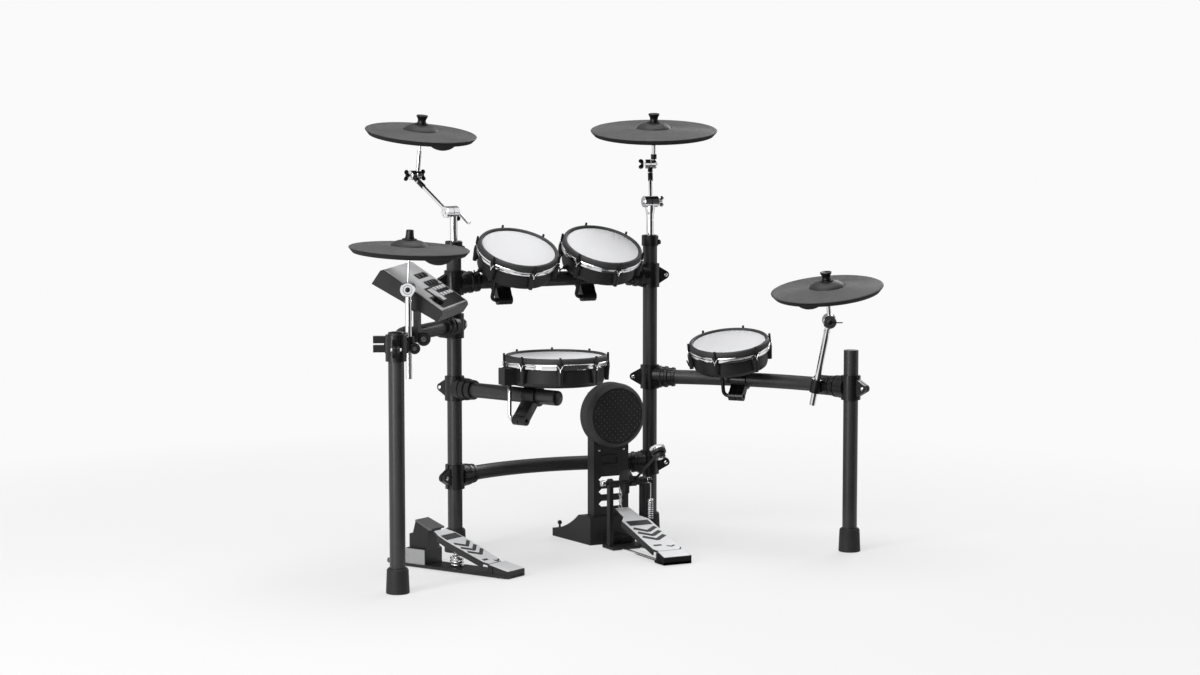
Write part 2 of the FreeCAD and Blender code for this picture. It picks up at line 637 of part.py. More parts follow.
class Pad:
    """A mesh pad on a bar: shell with lugs and sensor, mesh head, hoop, and its clamp with a bent rod."""

    def __init__(self, name, line, along, normal, mesh, depth, rise, aside, lugs, ahead="0",
                 rod_aside="pad_rod_aside", drop="pad_rod_drop", side_box=False):
        self.name = name
        point, way = line.spot(along)
        across = UP.cross(way)
        self.bar = frame(point, way, normal(across))
        self.mesh, self.depth, self.rise = mesh, depth, rise
        self.shell = f"({mesh} / 2 + 3)"
        self.where = self.bar.multiply(moved(size(ahead), size(aside), size(rise)))
        self.lugs = lugs
        self.first = 0.0 if side_box else 180.0 / lugs
        self.rod_aside, self.drop = rod_aside, drop
        self.side_box = side_box
        self.rod = Vector(-size("pad_rod_side") - size(ahead), size(rod_aside) - size(aside), 0)

    def build(self):
        node(self.name + "_shell", self.make_shell())
        node(self.name + "_head", self.make_head())
        node(self.name + "_hoop", self.make_hoop())
        node(self.name + "_mount", self.make_mount())

    def make_shell(self):
        name, shell, depth = self.name, self.shell, self.depth
        cup = turned(name + "_cup", [
            ("0", f"-{depth}"), (f"{shell} - 12", f"-{depth}"), (f"{shell} - 3", f"4 - {depth}"),
            (shell, f"12 - {depth}"), (shell, "-mesh_thick - fit_gap"),
            (f"{shell} - shell_wall", "-mesh_thick - fit_gap"), (f"{shell} - shell_wall", f"13 - {depth}"),
            (f"{shell} - 13", f"shell_wall - {depth}"), ("0", f"shell_wall - {depth}")], self.where)
        cones, holes = [], []
        for where in ring_places(self.where, self.lugs, size(shell) + 7, 9 - size(depth), self.first):
            cones.append(solid("Cone", f"{name}_lug", where, Radius1="lug_radius * 0.72",
                               Radius2="lug_radius + 0.5", Height=f"{depth} - 36"))
        for where in ring_places(self.where, self.lugs, size(shell) + 10.8, 20 - size(depth), self.first):
            holes.append(cylinder(f"{name}_lug_hole", "tension_rod / 2 + fit_gap", "60", where))
        if self.side_box:
            way = math.degrees(math.atan2(self.rod.y, self.rod.x))
            out = self.where.multiply(Placement(Vector(), Rotation(UP, way)))
            beside = out.multiply(moved(size(shell) + 14.5, 0, 4 - size(depth)))
            box = block(f"{name}_box", "34", "40", "44", beside)
            hole = cylinder(f"{name}_rod_hole", "pad_rod / 2 + fit_gap", "80",
                            self.where.multiply(moved(self.rod.x, self.rod.y, -size(depth) - 10)))
        else:
            box = cylinder(f"{name}_boss", "pad_rod / 2 + 8", "18",
                           self.where.multiply(moved(self.rod.x, self.rod.y, -size(depth) - 16)))
            hole = cylinder(f"{name}_rod_hole", "pad_rod / 2 + fit_gap", "15",
                            self.where.multiply(moved(self.rod.x, self.rod.y, -size(depth) - 17)))
        moulding = less(f"{name}_moulding", joined(f"{name}_block", [cup, box] + cones), hole, *holes)
        level = f"{depth} - 28"
        span = f"2 * ({shell} - shell_wall - 0.8)"
        bridge = block(f"{name}_bridge", span, "24", "3", self.where.multiply(moved(0, 0, -size(level))))
        foam = solid("Cone", f"{name}_sensor", self.where.multiply(moved(0, 0, 3 - size(level))), Radius1="22",
                     Radius2="9", Height=f"{level} - 3 - mesh_thick - turn_gap")
        return group(f"{name}_shell", [moulding, bridge, foam])

    def make_head(self):
        shell = self.shell
        return turned(self.name + "_head", [
            ("0", "-mesh_thick"), (f"{shell} + 0.3", "-mesh_thick"), (f"{shell} + 0.3", "-11"),
            (f"{shell} + 4", "-11"), (f"{shell} + 4", "0"), ("0", "0")], self.where)

    def make_hoop(self):
        name, shell = self.name, self.shell
        inner = f"{shell} + 4 + fit_gap"
        band = f"{shell} + 6.5"
        flange = f"{self.mesh} / 2 + hoop_reach"
        ring = turned(name + "_band", [
            (inner, "-24"), (band, "-24"), (band, "-11"), (flange, "-11"), (flange, "-8"),
            (band, "-8"), (band, "0"), (inner, "0")], self.where)
        places = ring_places(self.where, self.lugs, size(shell) + 10.8, 0, self.first)
        below = moved(0, 0, -14)
        holes = [cylinder(f"{name}_band_hole", "tension_rod / 2 + fit_gap", "10", place.multiply(below))
                 for place in places]
        rim = turned(name + "_rim", [
            (f"{self.mesh} / 2", "fit_gap"), (f"{self.mesh} / 2 + 1.5", "7"), (f"{self.mesh} / 2 + 4", "9.5"),
            (f"{shell} + 4.5", "9.5"), (f"{shell} + 7.2", "6.5"), (f"{shell} + 7.2", "fit_gap")], self.where)
        rods = [turned(f"{name}_rod", [
            ("0", "-42"), ("tension_rod / 2", "-42"), ("tension_rod / 2", "fit_gap - 8"),
            ("3.2", "fit_gap - 8"), ("3.2", "7"), ("2.2", "8"), ("0", "8")], place) for place in places]
        return group(f"{name}_hoop", [less(f"{name}_ring", ring, *holes), rim] + rods)

    def make_mount(self):
        name, bar = self.name, self.bar
        aside, drop = size(self.rod_aside), size(self.drop)
        ring, bore = bar_ring(name, "pad_clamp_wide", "turn_gap * 2")
        begin = moved(-size("pad_clamp_wide") / 2, aside, drop)
        eye = cylinder(f"{name}_eye", "pad_rod / 2 + 8", "pad_clamp_wide", begin.multiply(ALONG_X))
        toward = Vector(0, aside, drop)
        length = toward.Length
        downward = frame(Vector(), Vector(1, 0, 0), toward.normalize())
        web = block(f"{name}_web", "pad_clamp_wide", "22", str(length), downward)
        hole = cylinder(f"{name}_eye_hole", "pad_rod / 2 + fit_gap", "pad_clamp_wide + 4",
                        moved(-size("pad_clamp_wide") / 2 - 2, aside, drop).multiply(ALONG_X))
        slit = block(f"{name}_slit", "clamp_slit", "60", "30", moved(0, aside, drop - size("pad_rod / 2 + 25")))
        clamp = less(f"{name}_clamp", joined(f"{name}_clamp_block", [ring, eye, web]), bore, hole, slit)
        clamp.Placement = bar
        top = f"{self.rise} - {self.depth} - {self.drop} " + ("+ 44" if self.side_box else "- 2.5")
        path = [("0", "0"), ("pad_rod_side - pad_rod_bend", "0"),
                ("pad_rod_side", "pad_rod_bend", "pad_rod_bend", 1), ("pad_rod_side", top)]
        rod = bent(f"{name}_bent_rod", path, ["pad_rod / 2"],
                   bar.multiply(Placement(Vector(0, aside, drop), BACKWARD)))
        return group(f"{name}_mount", [clamp, rod])


def leaning(angle):
    """The normal of a pad that leans by an angle to the drummer's side of its bar."""
    lean = math.radians(size(angle))
    return lambda across: UP * math.cos(lean) - across * math.sin(lean)


def drum_half(name, centre, axis, radius, half, ahead):
    """Half a tilter drum on its axis, with the running gap on the side that it turns on."""
    start = centre - axis * (size(half) / 2)
    if ahead:
        start = centre - axis * (size(half) / 2 - size("turn_gap"))
    return cylinder(name, radius, f"{half} - turn_gap", pointing(start, axis))


class Cymbal:
    """A cymbal pad on its upper rod, which turns in a tilter at the joint."""

    def __init__(self, name, disc, carrier, lean, reach, bulge, facing=None, straight_topper=False):
        self.name = name
        self.disc = disc
        self.normal = Vector(lean[0], lean[1], math.sqrt(1 - lean[0] ** 2 - lean[1] ** 2))
        self.axis = UP.cross(self.normal).normalize()
        self.radius, self.half = "upper_radius", "upper_half"
        if facing:
            self.axis = (facing - self.normal * facing.dot(self.normal)).normalize()
            self.radius, self.half = "pole_drum", "pole_half"
        self.reach = reach
        self.carrier = carrier
        self.where = frame(carrier + self.axis * size(self.half), self.axis.cross(self.normal), self.normal)
        self.bulge = bulge
        self.straight_topper = straight_topper

    def carrier_half(self):
        """The half drum on the piece that carries this cymbal."""
        return drum_half(self.name + "_carrier", self.carrier, self.axis, self.radius, self.half, False)

    def build(self):
        node(self.name + "_stem", self.make_stem())
        node(self.name + "_cymbal", self.make_disc())

    def make_stem(self):
        name, reach = self.name, self.reach
        drum = drum_half(name + "_drum", self.where.Base, self.axis, self.radius, self.half, True)
        rod = cylinder(name + "_rod", "stem_rod / 2", f"{reach} + bell_rise + 18", self.where)
        line = self.where.multiply(moved(0, 0, size(reach)))
        middle = line.multiply(moved(0, 0, size("seat_level")))
        ball = solid("Sphere", name + "_ball", middle, Radius="seat_ball")
        foot = cylinder(name + "_cup", "stem_rod / 2 + 4", "seat_ball + 6",
                        line.multiply(moved(0, 0, size("seat_level - seat_ball - 6"))))
        bore = cylinder(name + "_ball_bore", "stem_rod / 2 + fit_gap", "4 * seat_ball",
                        line.multiply(moved(0, 0, -2 * size("seat_ball"))))
        seat = less(name + "_seat", joined(name + "_seat_block", [ball, foot]), bore)
        hole = "stem_rod / 2 + fit_gap"
        low, top = "bell_rise + 1.6", "bell_rise + 24"
        if self.straight_topper:
            sides = [(hole, low), ("11", low), ("9", top)]
        else:
            sides = [(hole, low), ("12", low), ("11", "bell_rise + 7"), ("12", "bell_rise + 13"),
                     ("16", "bell_rise + 19"), ("16", top)]
        inside = "bell_rise + 18.2"
        topper = turned(name + "_topper", sides + [("0", top), ("0", inside), (hole, inside)], line)
        return group(name + "_stem", [joined(name + "_upper_rod", [drum, rod]), seat, topper])

    def make_disc(self):
        name, edge = self.name, f"{self.disc} / 2"
        socket = "seat_ball + turn_gap"
        hole, mouth = "stem_hole / 2", "seat_ball - 1.6"
        line = self.where.multiply(moved(0, 0, size(self.reach)))
        disc = turned(name + "_disc", [
            (hole, f"seat_level + sqrt(({socket}) ^ 2 - ({hole}) ^ 2)", socket, 1), (hole, "bell_rise - 1"),
            (f"{hole} + 2", "bell_rise"), ("bell_radius * 0.38", "bell_rise - 0.9"),
            ("bell_radius * 0.66", "bell_rise - 4.5"), ("bell_radius * 0.88", "bell_rise - 10.5"),
            ("bell_radius", "bell_rise - 15.5"), (f"{edge} - 5", "4"), (edge, "1.6"), (f"{edge} - 0.6", "-0.8"),
            (f"{edge} - 16", "-9"), (f"{edge} * 0.62", "-6.5"), ("bell_radius * 0.5", "-3"),
            (mouth, f"seat_level - sqrt(({socket}) ^ 2 - ({mouth}) ^ 2)")], line)
        ahead = line.Rotation.multVec(Vector(1, 0, 0))
        turn = Placement(Vector(), Rotation(UP, self.bulge - math.degrees(math.atan2(ahead.y, ahead.x))))
        under = line.multiply(turn).multiply(moved(size(edge) * 0.47, 0, -1.5))
        bump = solid("Ellipsoid", name + "_bump", under, Radius1="bump_deep", Radius2=f"{edge} * 0.26",
                     Radius3=f"{edge} * 0.24", Angle1="-90", Angle2="0")
        return joined(name + "_pad", [disc, bump])


def build_boomed(name, disc, post, way, lean, bulge, side):
    """A cymbal on a boom whose tube slides in an inner post; the boom is on one side of the tube."""
    top = post(f"inner_post_top + {name}_joint_up")
    axis = UP.cross(way) * side
    elbow = top + axis * size("tilter_half")
    end = elbow + way * size(name + "_boom_reach") + UP * size(name + "_boom_rise")
    cymbal = Cymbal(name, disc, end, lean, name + "_stem", bulge)
    foot = pointing(post("inner_post_top - tube_in_post"), UP)
    pole = tube(name + "_pole", f"{name}_joint_up + tube_in_post", foot, "stand_tube", "1.5", True)
    knuckle = drum_half(name + "_knuckle", top, axis, "tilter_radius", "tilter_half", False)
    node(name + "_tube", joined(name + "_tube", [pole, knuckle]))
    arm = stick(name + "_arm", elbow, end, "boom_rod / 2")
    lower = drum_half(name + "_elbow", elbow, axis, "tilter_radius", "tilter_half", True)
    node(name + "_boom", joined(name + "_boom", [arm, lower, cymbal.carrier_half()]))
    cymbal.build()


def build_poled(name, start, end, lean, stem, bulge, straight_topper=False):
    """A cymbal whose tube is held on a wing bar; its tilter faces the drummer's side."""
    cymbal = Cymbal(name, "crash_disc", end, lean, stem, bulge, plan(size("pole_drum_turn")), straight_topper)
    way = end - start
    pole = tube(name + "_pole", str(way.Length), pointing(start, way), "pole_tube", "1.5", True)
    node(name + "_tube", joined(name + "_tube", [pole, cymbal.carrier_half()]))
    cymbal.build()


def holder_frame(line, along):
    point, way = line.spot(along)
    return frame(point, way)


HIHAT_HOLDER = holder_frame(LEFT_LINE, size("hihat_along"))
SIDE_HOLDER = holder_frame(RIGHT_LINE, RIGHT_LINE.length - size("side_from_post"))
MODULE_HOLDER = holder_frame(LEFT_LINE, size("module_along"))


def build_cymbals():
    build_boomed("crash", "crash_disc", left_inner, plan(size("crash_boom_turn")), (0.022, -0.162), -70, 1)
    build_boomed("ride", "ride_disc", right_inner, plan(size("ride_boom_turn")), (-0.066, -0.128), 60, -1)
    foot = HIHAT_HOLDER.multVec(Vector(0, size("holder_aside"), 0))
    low = Vector(foot.x, foot.y, size("hihat_low"))
    high = Vector(foot.x, foot.y, size("hihat_joint_level"))
    build_poled("hihat", low, high, (0.021, -0.061), "hihat_stem", -55, True)
    tilt = Rotation(Vector(0, 1, 0), size("side_lean"))
    lean = SIDE_HOLDER.multiply(Placement(Vector(0, size("holder_aside"), 0), tilt))
    low = lean.multVec(Vector(0, 0, -size("side_below")))
    high = lean.multVec(Vector(0, 0, size("side_above")))
    build_poled("side", low, high, (-0.158, -0.087), "side_stem", -157)


def build_module():
    """The sound module on its hinge: case, panel, key mat and dial."""
    hinge = MODULE_HOLDER.multVec(Vector(0, -size("module_hinge_in"), size("module_hinge_up")))
    way = MODULE_HOLDER.Rotation.multVec(Vector(1, 0, 0))
    inward = way.cross(UP)
    slope = math.radians(size("module_slope"))
    where = frame(hinge, way, UP * math.cos(slope) + inward * math.sin(slope))
    bottom = "(hinge_radius + 2)"
    top = f"({bottom} + module_back)"
    front, back = "(10 - module_deep / 2)", "(10 + module_deep / 2)"
    wedge = plate("module_wedge", [
        (front, f"{top} - module_front"), (back, bottom), (back, f"{top} - 6"), (f"{back} - 6", top),
        (f"{front} + 6", top), (front, f"{top} - 6")], "module_wide",
        where.multiply(Placement(Vector(-size("module_wide") / 2, 0, 0), ON_SIDE)))
    lugs = []
    for side in (-1, 1):
        lug_start = where.multiply(moved(17 + size("turn_gap") if side > 0 else -29, 0, 0))
        lugs.append(cylinder("module_lug", "hinge_radius", "12 - turn_gap", lug_start.multiply(ALONG_X)))
        lugs.append(block("module_lug_web", "12 - turn_gap", "2 * hinge_radius", "hinge_radius + 22",
                          where.multiply(moved(side * (23 + size("turn_gap") / 2), 0, 0))))
    pin = cylinder("module_pin", "4", "58", where.multiply(moved(-29, 0, 0)).multiply(ALONG_X))
    mat_x, mat_y = 62, 12
    level = size(top)
    well = where.multiply(moved(mat_x, mat_y, level - size("key_travel") - 4))
    pocket = block("module_pocket", "132", "112", "12", well)
    under_dial = where.multiply(moved(-96, -52, level - 10))
    spindle_hole = cylinder("module_spindle_hole", "3 + turn_gap", "20", under_dial)
    case = less("module_case", joined("module_block", [wedge] + lugs + [pin]), pocket, spindle_hole)
    node("module_case", case)
    keys = [(x, y) for y in (-34, -10, 14) for x in (14, 46, 78, 110)] + [(x, 46) for x in (20, 62, 104)]
    holes = [[(f"{x - 9.4}", f"{y - 6.4}"), (f"{x + 9.4}", f"{y - 6.4}"), (f"{x + 9.4}", f"{y + 6.4}"),
              (f"{x - 9.4}", f"{y + 6.4}")] for x, y in keys]
    edge_x = "(module_wide / 2 - 4)"
    edge_front, edge_back = f"({front} + 7)", f"({back} - 7)"
    panel = plate("module_panel", [(f"-{edge_x}", edge_front), (edge_x, edge_front), (edge_x, edge_back),
                                   (f"-{edge_x}", edge_back)], "panel_thick", where.multiply(moved(0, 0, level)),
                  holes + [("-96", "-52", "3 + turn_gap")])
    node("module_panel", panel)
    mat = block("module_mat", "130", "110", "1.5", where.multiply(moved(mat_x, mat_y, level - 2.1)))
    caps = [block("module_key", "18", "12", "panel_thick + 5", where.multiply(moved(x, y, level - 1.6)))
            for x, y in keys]
    node("module_keys", joined("module_keys", [mat] + caps))
    rise = "panel_thick + turn_gap"
    dial = turned("module_dial", [
        ("0", "-7"), ("3", "-7"), ("3", rise), ("14", rise), ("13", f"{rise} + 10"), ("12", f"{rise} + 11"),
        ("0", f"{rise} + 11")], where.multiply(moved(-96, -52, level)))
    node("module_dial", dial)


def kick(x, y, z):
    """A point of the kick tower and pedal, from the middle of the tower plate's foot."""
    return at(size("kick_x") + x, size("kick_y") + y, z)


def build_kick_tower():
    """The tower: folded plate on a moulded base, with the round pad on its front."""
    sheet_box = block("tower_box", "tower_wide", "tower_deep", "tower_top - 6",
                      moved(0, size("tower_deep") / 2, 6))
    hollow = block("tower_hollow", "tower_wide - 2 * tower_wall", "tower_deep", "tower_top",
                   moved(0, size("tower_wall + tower_deep / 2"), 6))
    slots = []
    for level in (112, 146, 180):
        slots.append(plate("tower_slot", [
            ("-tower_wide * 0.36", "0"), ("-tower_wide * 0.28", "-8"), ("tower_wide * 0.3", "-8"),
            ("tower_wide * 0.3", "8"), ("-tower_wide * 0.28", "8")], "30",
            Placement(Vector(0, 15, level), Rotation(Vector(1, 0, 0), 90))))
    rib = plate("tower_rib", [
        ("-28", "15"), ("-28", "9"), ("17", "9"), ("20", "6"), ("20", "-6"), ("17", "-9"), ("-28", "-9"),
        ("-28", "-15"), ("20", "-15"), ("26", "-9"), ("26", "9"), ("20", "15")], "5", Placement(Vector(0, 1, size("rib_level")), Rotation(Vector(1, 0, 0), 90)))
    tower = less("tower_sheet", joined("tower_block", [sheet_box, rib]), hollow, *slots)
    wings = plate("base_plan", [
        ("-70", "-10"), ("70", "-10"), ("90", "base_long"), ("50", "base_long + 8"), ("42", "tower_deep + 24"),
        ("-42", "tower_deep + 24"), ("-50", "base_long + 8"), ("-90", "base_long")], "base_tall")
    sweep = 260
    back, low = size("base_long") + 27, 21
    hollow_top = cylinder("base_hollow", str(sweep), "400", moved(-200, back, low + sweep).multiply(ALONG_X))
    seat = block("base_seat", "tower_wide + 2 * fit_gap", "tower_deep + 2 * fit_gap", "base_tall + 10",
                 moved(0, size("tower_deep") / 2, 6 - size("fit_gap")))
    base = less("tower_base", wings, seat, hollow_top)
    spot = Placement(kick(0, 0, 0), Rotation())
    node("kick_tower", group("kick_tower", copies(tower, [spot]) + copies(base, [spot])))
    front = Placement(kick(0, 0, size("kick_level")), Rotation(Vector(1, 0, 0), 90))
    face, depth = "kick_face_radius + fit_gap", "kick_deep"
    moulding = turned("kick_shell_moulding", [
        ("0", "fit_gap"), ("kick_radius - 14", "fit_gap"), ("kick_radius - 14", "-kick_skirt"),
        ("kick_radius - 5", "-kick_skirt"), ("kick_radius", "5 - kick_skirt"),
        ("kick_radius", f"{depth} * 0.62"), ("kick_radius - 4", f"{depth} - 6"),
        ("kick_radius - 11", depth), (face, f"{depth} - 2"),
        (face, f"{depth} - 14"), ("24", f"{depth} - 14"), ("24", "12"), ("0", "12")], front)
    notch_top, notch_low = "(tower_top - kick_level + 8)", "(kick_radius + 10)"
    notch_middle = size(f"({notch_top} - {notch_low}) / 2")
    notch = block("kick_notch", "tower_wide + 2 * fit_gap", f"{notch_top} + {notch_low}",
                  "kick_skirt + fit_gap + 2", front.multiply(moved(0, notch_middle, -size("kick_skirt") - 2)))
    shell = less("kick_shell", moulding, notch)
    sensor = cylinder("kick_sensor", "20", "4", front.multiply(moved(0, 0, 12)))
    node("kick_pad_shell", group("kick_pad_shell", [shell, sensor]))
    node("kick_pad_face", turned("kick_pad_face", [
        ("0", f"{depth} - 14"), ("kick_face_radius", f"{depth} - 14"), ("kick_face_radius", f"{depth} - 3"),
        ("kick_face_radius - 3", f"{depth} - 0.5"), ("kick_face_radius * 0.5", f"{depth} + 1"),
        ("0", f"{depth} + 1.4")], front))


def coil(name, foot, radius, wire, turns, height):
    """A round-wire spring on the vertical above a point: one tube along arcs of a quarter turn."""
    steps = int(round(turns * 4))
    pitch = height / turns

    def spot(quarter):
        angle = quarter * math.pi / 2
        return Vector(radius * math.cos(angle), radius * math.sin(angle), pitch * quarter / 4)

    arcs = [Part.Arc(spot(i), spot(i + 0.5), spot(i + 1)).toShape() for i in range(steps)]
    way = Part.Wire(arcs)
    tangent = Vector(0, radius * math.pi / 2, pitch / 4)
    ring = Part.Wire([Part.makeCircle(wire / 2, spot(0), tangent)])
    tube_shape = way.makePipeShell([ring], True, False)
    feature = doc.addObject("Part::Feature", name)
    feature.Shape = tube_shape
    feature.Placement = Placement(foot, Rotation())
    points = [spot(i / 8) for i in range(steps * 8 + 1)]
    least = min(points[i].distanceToPoint(points[j]) for i in range(0, len(points), 2)
                for j in range(i + 20, min(i + 80, len(points))))
    print(f"{name}: least gap between turns {least - wire:.2f} mm")
    return feature


def build_kick_pedal():
    """The pedal in front of the tower: frame, footboard, axle with cam and beater, chain and spring."""
    back, level = size("axle_back"), size("axle_level")
    ux = size("upright_x")
    base = block("pedal_base", "2 * upright_x + 16", "64", "plate_thick",
                 Placement(kick(0, back, 2), Rotation()))
    jaw = block("pedal_jaw", "60", "-axle_back - 10 - fit_gap - 20", "26",
                Placement(kick(0, (back + 20 - 10 - size("fit_gap")) / 2, 2), Rotation()))
    uprights = []
    for side in (-1, 1):
        foot = Placement(kick(side * ux, back, 2), Rotation())
        uprights.append(block("pedal_upright", "12", "18", "axle_level + 12 - 2", foot))
    hook = block("pedal_hook", "24", "10", "6", Placement(kick(ux + 14, back - 18, 74), Rotation()))
    hook_arm = block("pedal_hook_arm", "10", "30", "6", Placement(kick(ux + 2, back - 8, 74), Rotation()))
    heel_y, heel_z = size("heel_back"), size("heel_level")
    heel = block("pedal_heel", "84", "54", "plate_thick", Placement(kick(0, heel_y - 8, 2), Rotation()))
    ear_feet = [Placement(kick(side * 38, heel_y, 2), Rotation()) for side in (-1, 1)]
    ears = [block("pedal_heel_ear", "10", "16", "heel_level + 6", foot) for foot in ear_feet]
    pin = stick("pedal_heel_pin", kick(-42, heel_y, heel_z), kick(42, heel_y, heel_z), "3")
    rods = [stick("pedal_rod", kick(side * 28, heel_y, 6), kick(side * 28, back, 6), "3.5") for side in (-1, 1)]
    axle_hole = stick("pedal_axle_hole", kick(-ux - 20, back, level), kick(ux + 20, back, level),
                      "axle_radius + turn_gap")
    whole = joined("pedal_block", [base, jaw, hook, hook_arm, heel, pin] + uprights + ears + rods)
    node("kick_pedal_frame", less("kick_pedal_frame", whole, axle_hole))

    tilt = Rotation(Vector(1, 0, 0), size("board_angle"))
    board = Placement(kick(0, heel_y, heel_z), tilt)
    tread = plate("kick_tread", [
        ("-30", "9"), ("30", "9"), ("board_wide / 2", "26"), ("board_wide / 2", "board_long * 0.72"),
        ("26", "board_long * 0.8"), ("22", "board_long"), ("-22", "board_long"), ("-26", "board_long * 0.8"),
        ("-board_wide / 2", "board_long * 0.72"), ("-board_wide / 2", "26")], "board_thick", board)
    knuckle = cylinder("kick_knuckle", "7", "60", board.multiply(moved(-30, 0, 0)).multiply(ALONG_X))
    tongue = block("kick_tongue", "60", "16", "board_thick", board.multiply(moved(0, 6, 0)))
    bore_start = board.multiply(moved(-40, 0, 0))
    bore = cylinder("kick_knuckle_bore", "3 + turn_gap", "80", bore_start.multiply(ALONG_X))
    node("kick_footboard", less("kick_footboard", joined("kick_board", [tread, knuckle, tongue]), bore))

    axle = Placement(kick(0, back, level), Rotation(Vector(1, 0, 0), size("beater_rest")))
    straight = Placement(kick(0, back, level), Rotation())
    shaft_end = straight.multiply(moved(-size("axle_long") / 2, 0, 0))
    shaft = cylinder("kick_shaft", "axle_radius", "axle_long", shaft_end.multiply(ALONG_X))
    cam = cylinder("kick_cam", "cam_radius", "14", straight.multiply(moved(-7, 0, 0)).multiply(ALONG_X))
    window = block("kick_cam_cut", "30", "120", "60", straight.multiply(moved(0, -62, -70)))
    hub = block("kick_hub", "22", "20", "24", axle.multiply(moved(22, 0, -10)))
    arm = block("kick_spring_arm", "6", "30", "8", straight.multiply(moved(ux + 16, -12, -4)))
    socket = cylinder("kick_rod_hole", "4 + fit_gap", "60", axle.multiply(moved(22, 0, 2)))
    half_cam = less("kick_cam_half", cam, window)
    drive = less("kick_drive", joined("kick_drive_block", [shaft, half_cam, hub, arm]), socket)
    rod_foot = axle.multiply(moved(22, 0, 2 + size("fit_gap")))
    rod = cylinder("kick_beater_rod", "4", "beater_reach - 2 - 2 * fit_gap", rod_foot)
    head_end = Vector(22, size("beater_long") / 2, size("beater_reach"))
    head_place = axle.multiply(Placement(head_end, Rotation(Vector(1, 0, 0), 90)))
    head = turned("kick_beater_puck", [
        ("0", "0"), ("beater_radius - 3", "0"), ("beater_radius", "3"), ("beater_radius", "beater_long - 3"),
        ("beater_radius - 3", "beater_long"), ("0", "beater_long")], head_place)
    head_bore = cylinder("kick_head_bore", "4 + fit_gap", "beater_radius + 2",
                         axle.multiply(moved(22, 0, size("beater_reach - beater_radius - 2"))))
    puck = less("kick_beater_head", head, head_bore)
    node("kick_beater", group("kick_beater", [drive, rod, puck]))

    toe = board.multVec(Vector(0, size("board_long") - 8, size("board_thick") + 0.3))
    top = level - 2
    links = []
    count = 8
    step = (top - toe.z) / count
    line_y = straight.Base.y + size("cam_radius") + 3.4
    for index in range(count):
        wide = "7" if index % 2 else "11"
        spot = Vector(straight.Base.x, line_y, toe.z + index * step)
        links.append(block("kick_link", wide, "5", str(step), Placement(spot, Rotation())))
    node("kick_chain", joined("kick_chain", links))
    foot_z = 80 + size("kick_wire") / 2 + 0.3
    height = level - 4 - 0.3 - size("kick_wire") / 2 - foot_z
    spring = coil("kick_spring", kick(ux + 16, back - 18, foot_z), size("kick_coil"), size("kick_wire"),
                  size("kick_turns"), height)
    node("kick_spring", spring)


def on_side(name, outline, wide, ground):
    """A plate whose outline is a side view in X and Z, as wide as given about the middle."""
    side = Placement(Vector(0, size(wide) / 2, 0), Rotation(Vector(1, 0, 0), 90))
    return plate(name, outline, wide, ground.multiply(side))


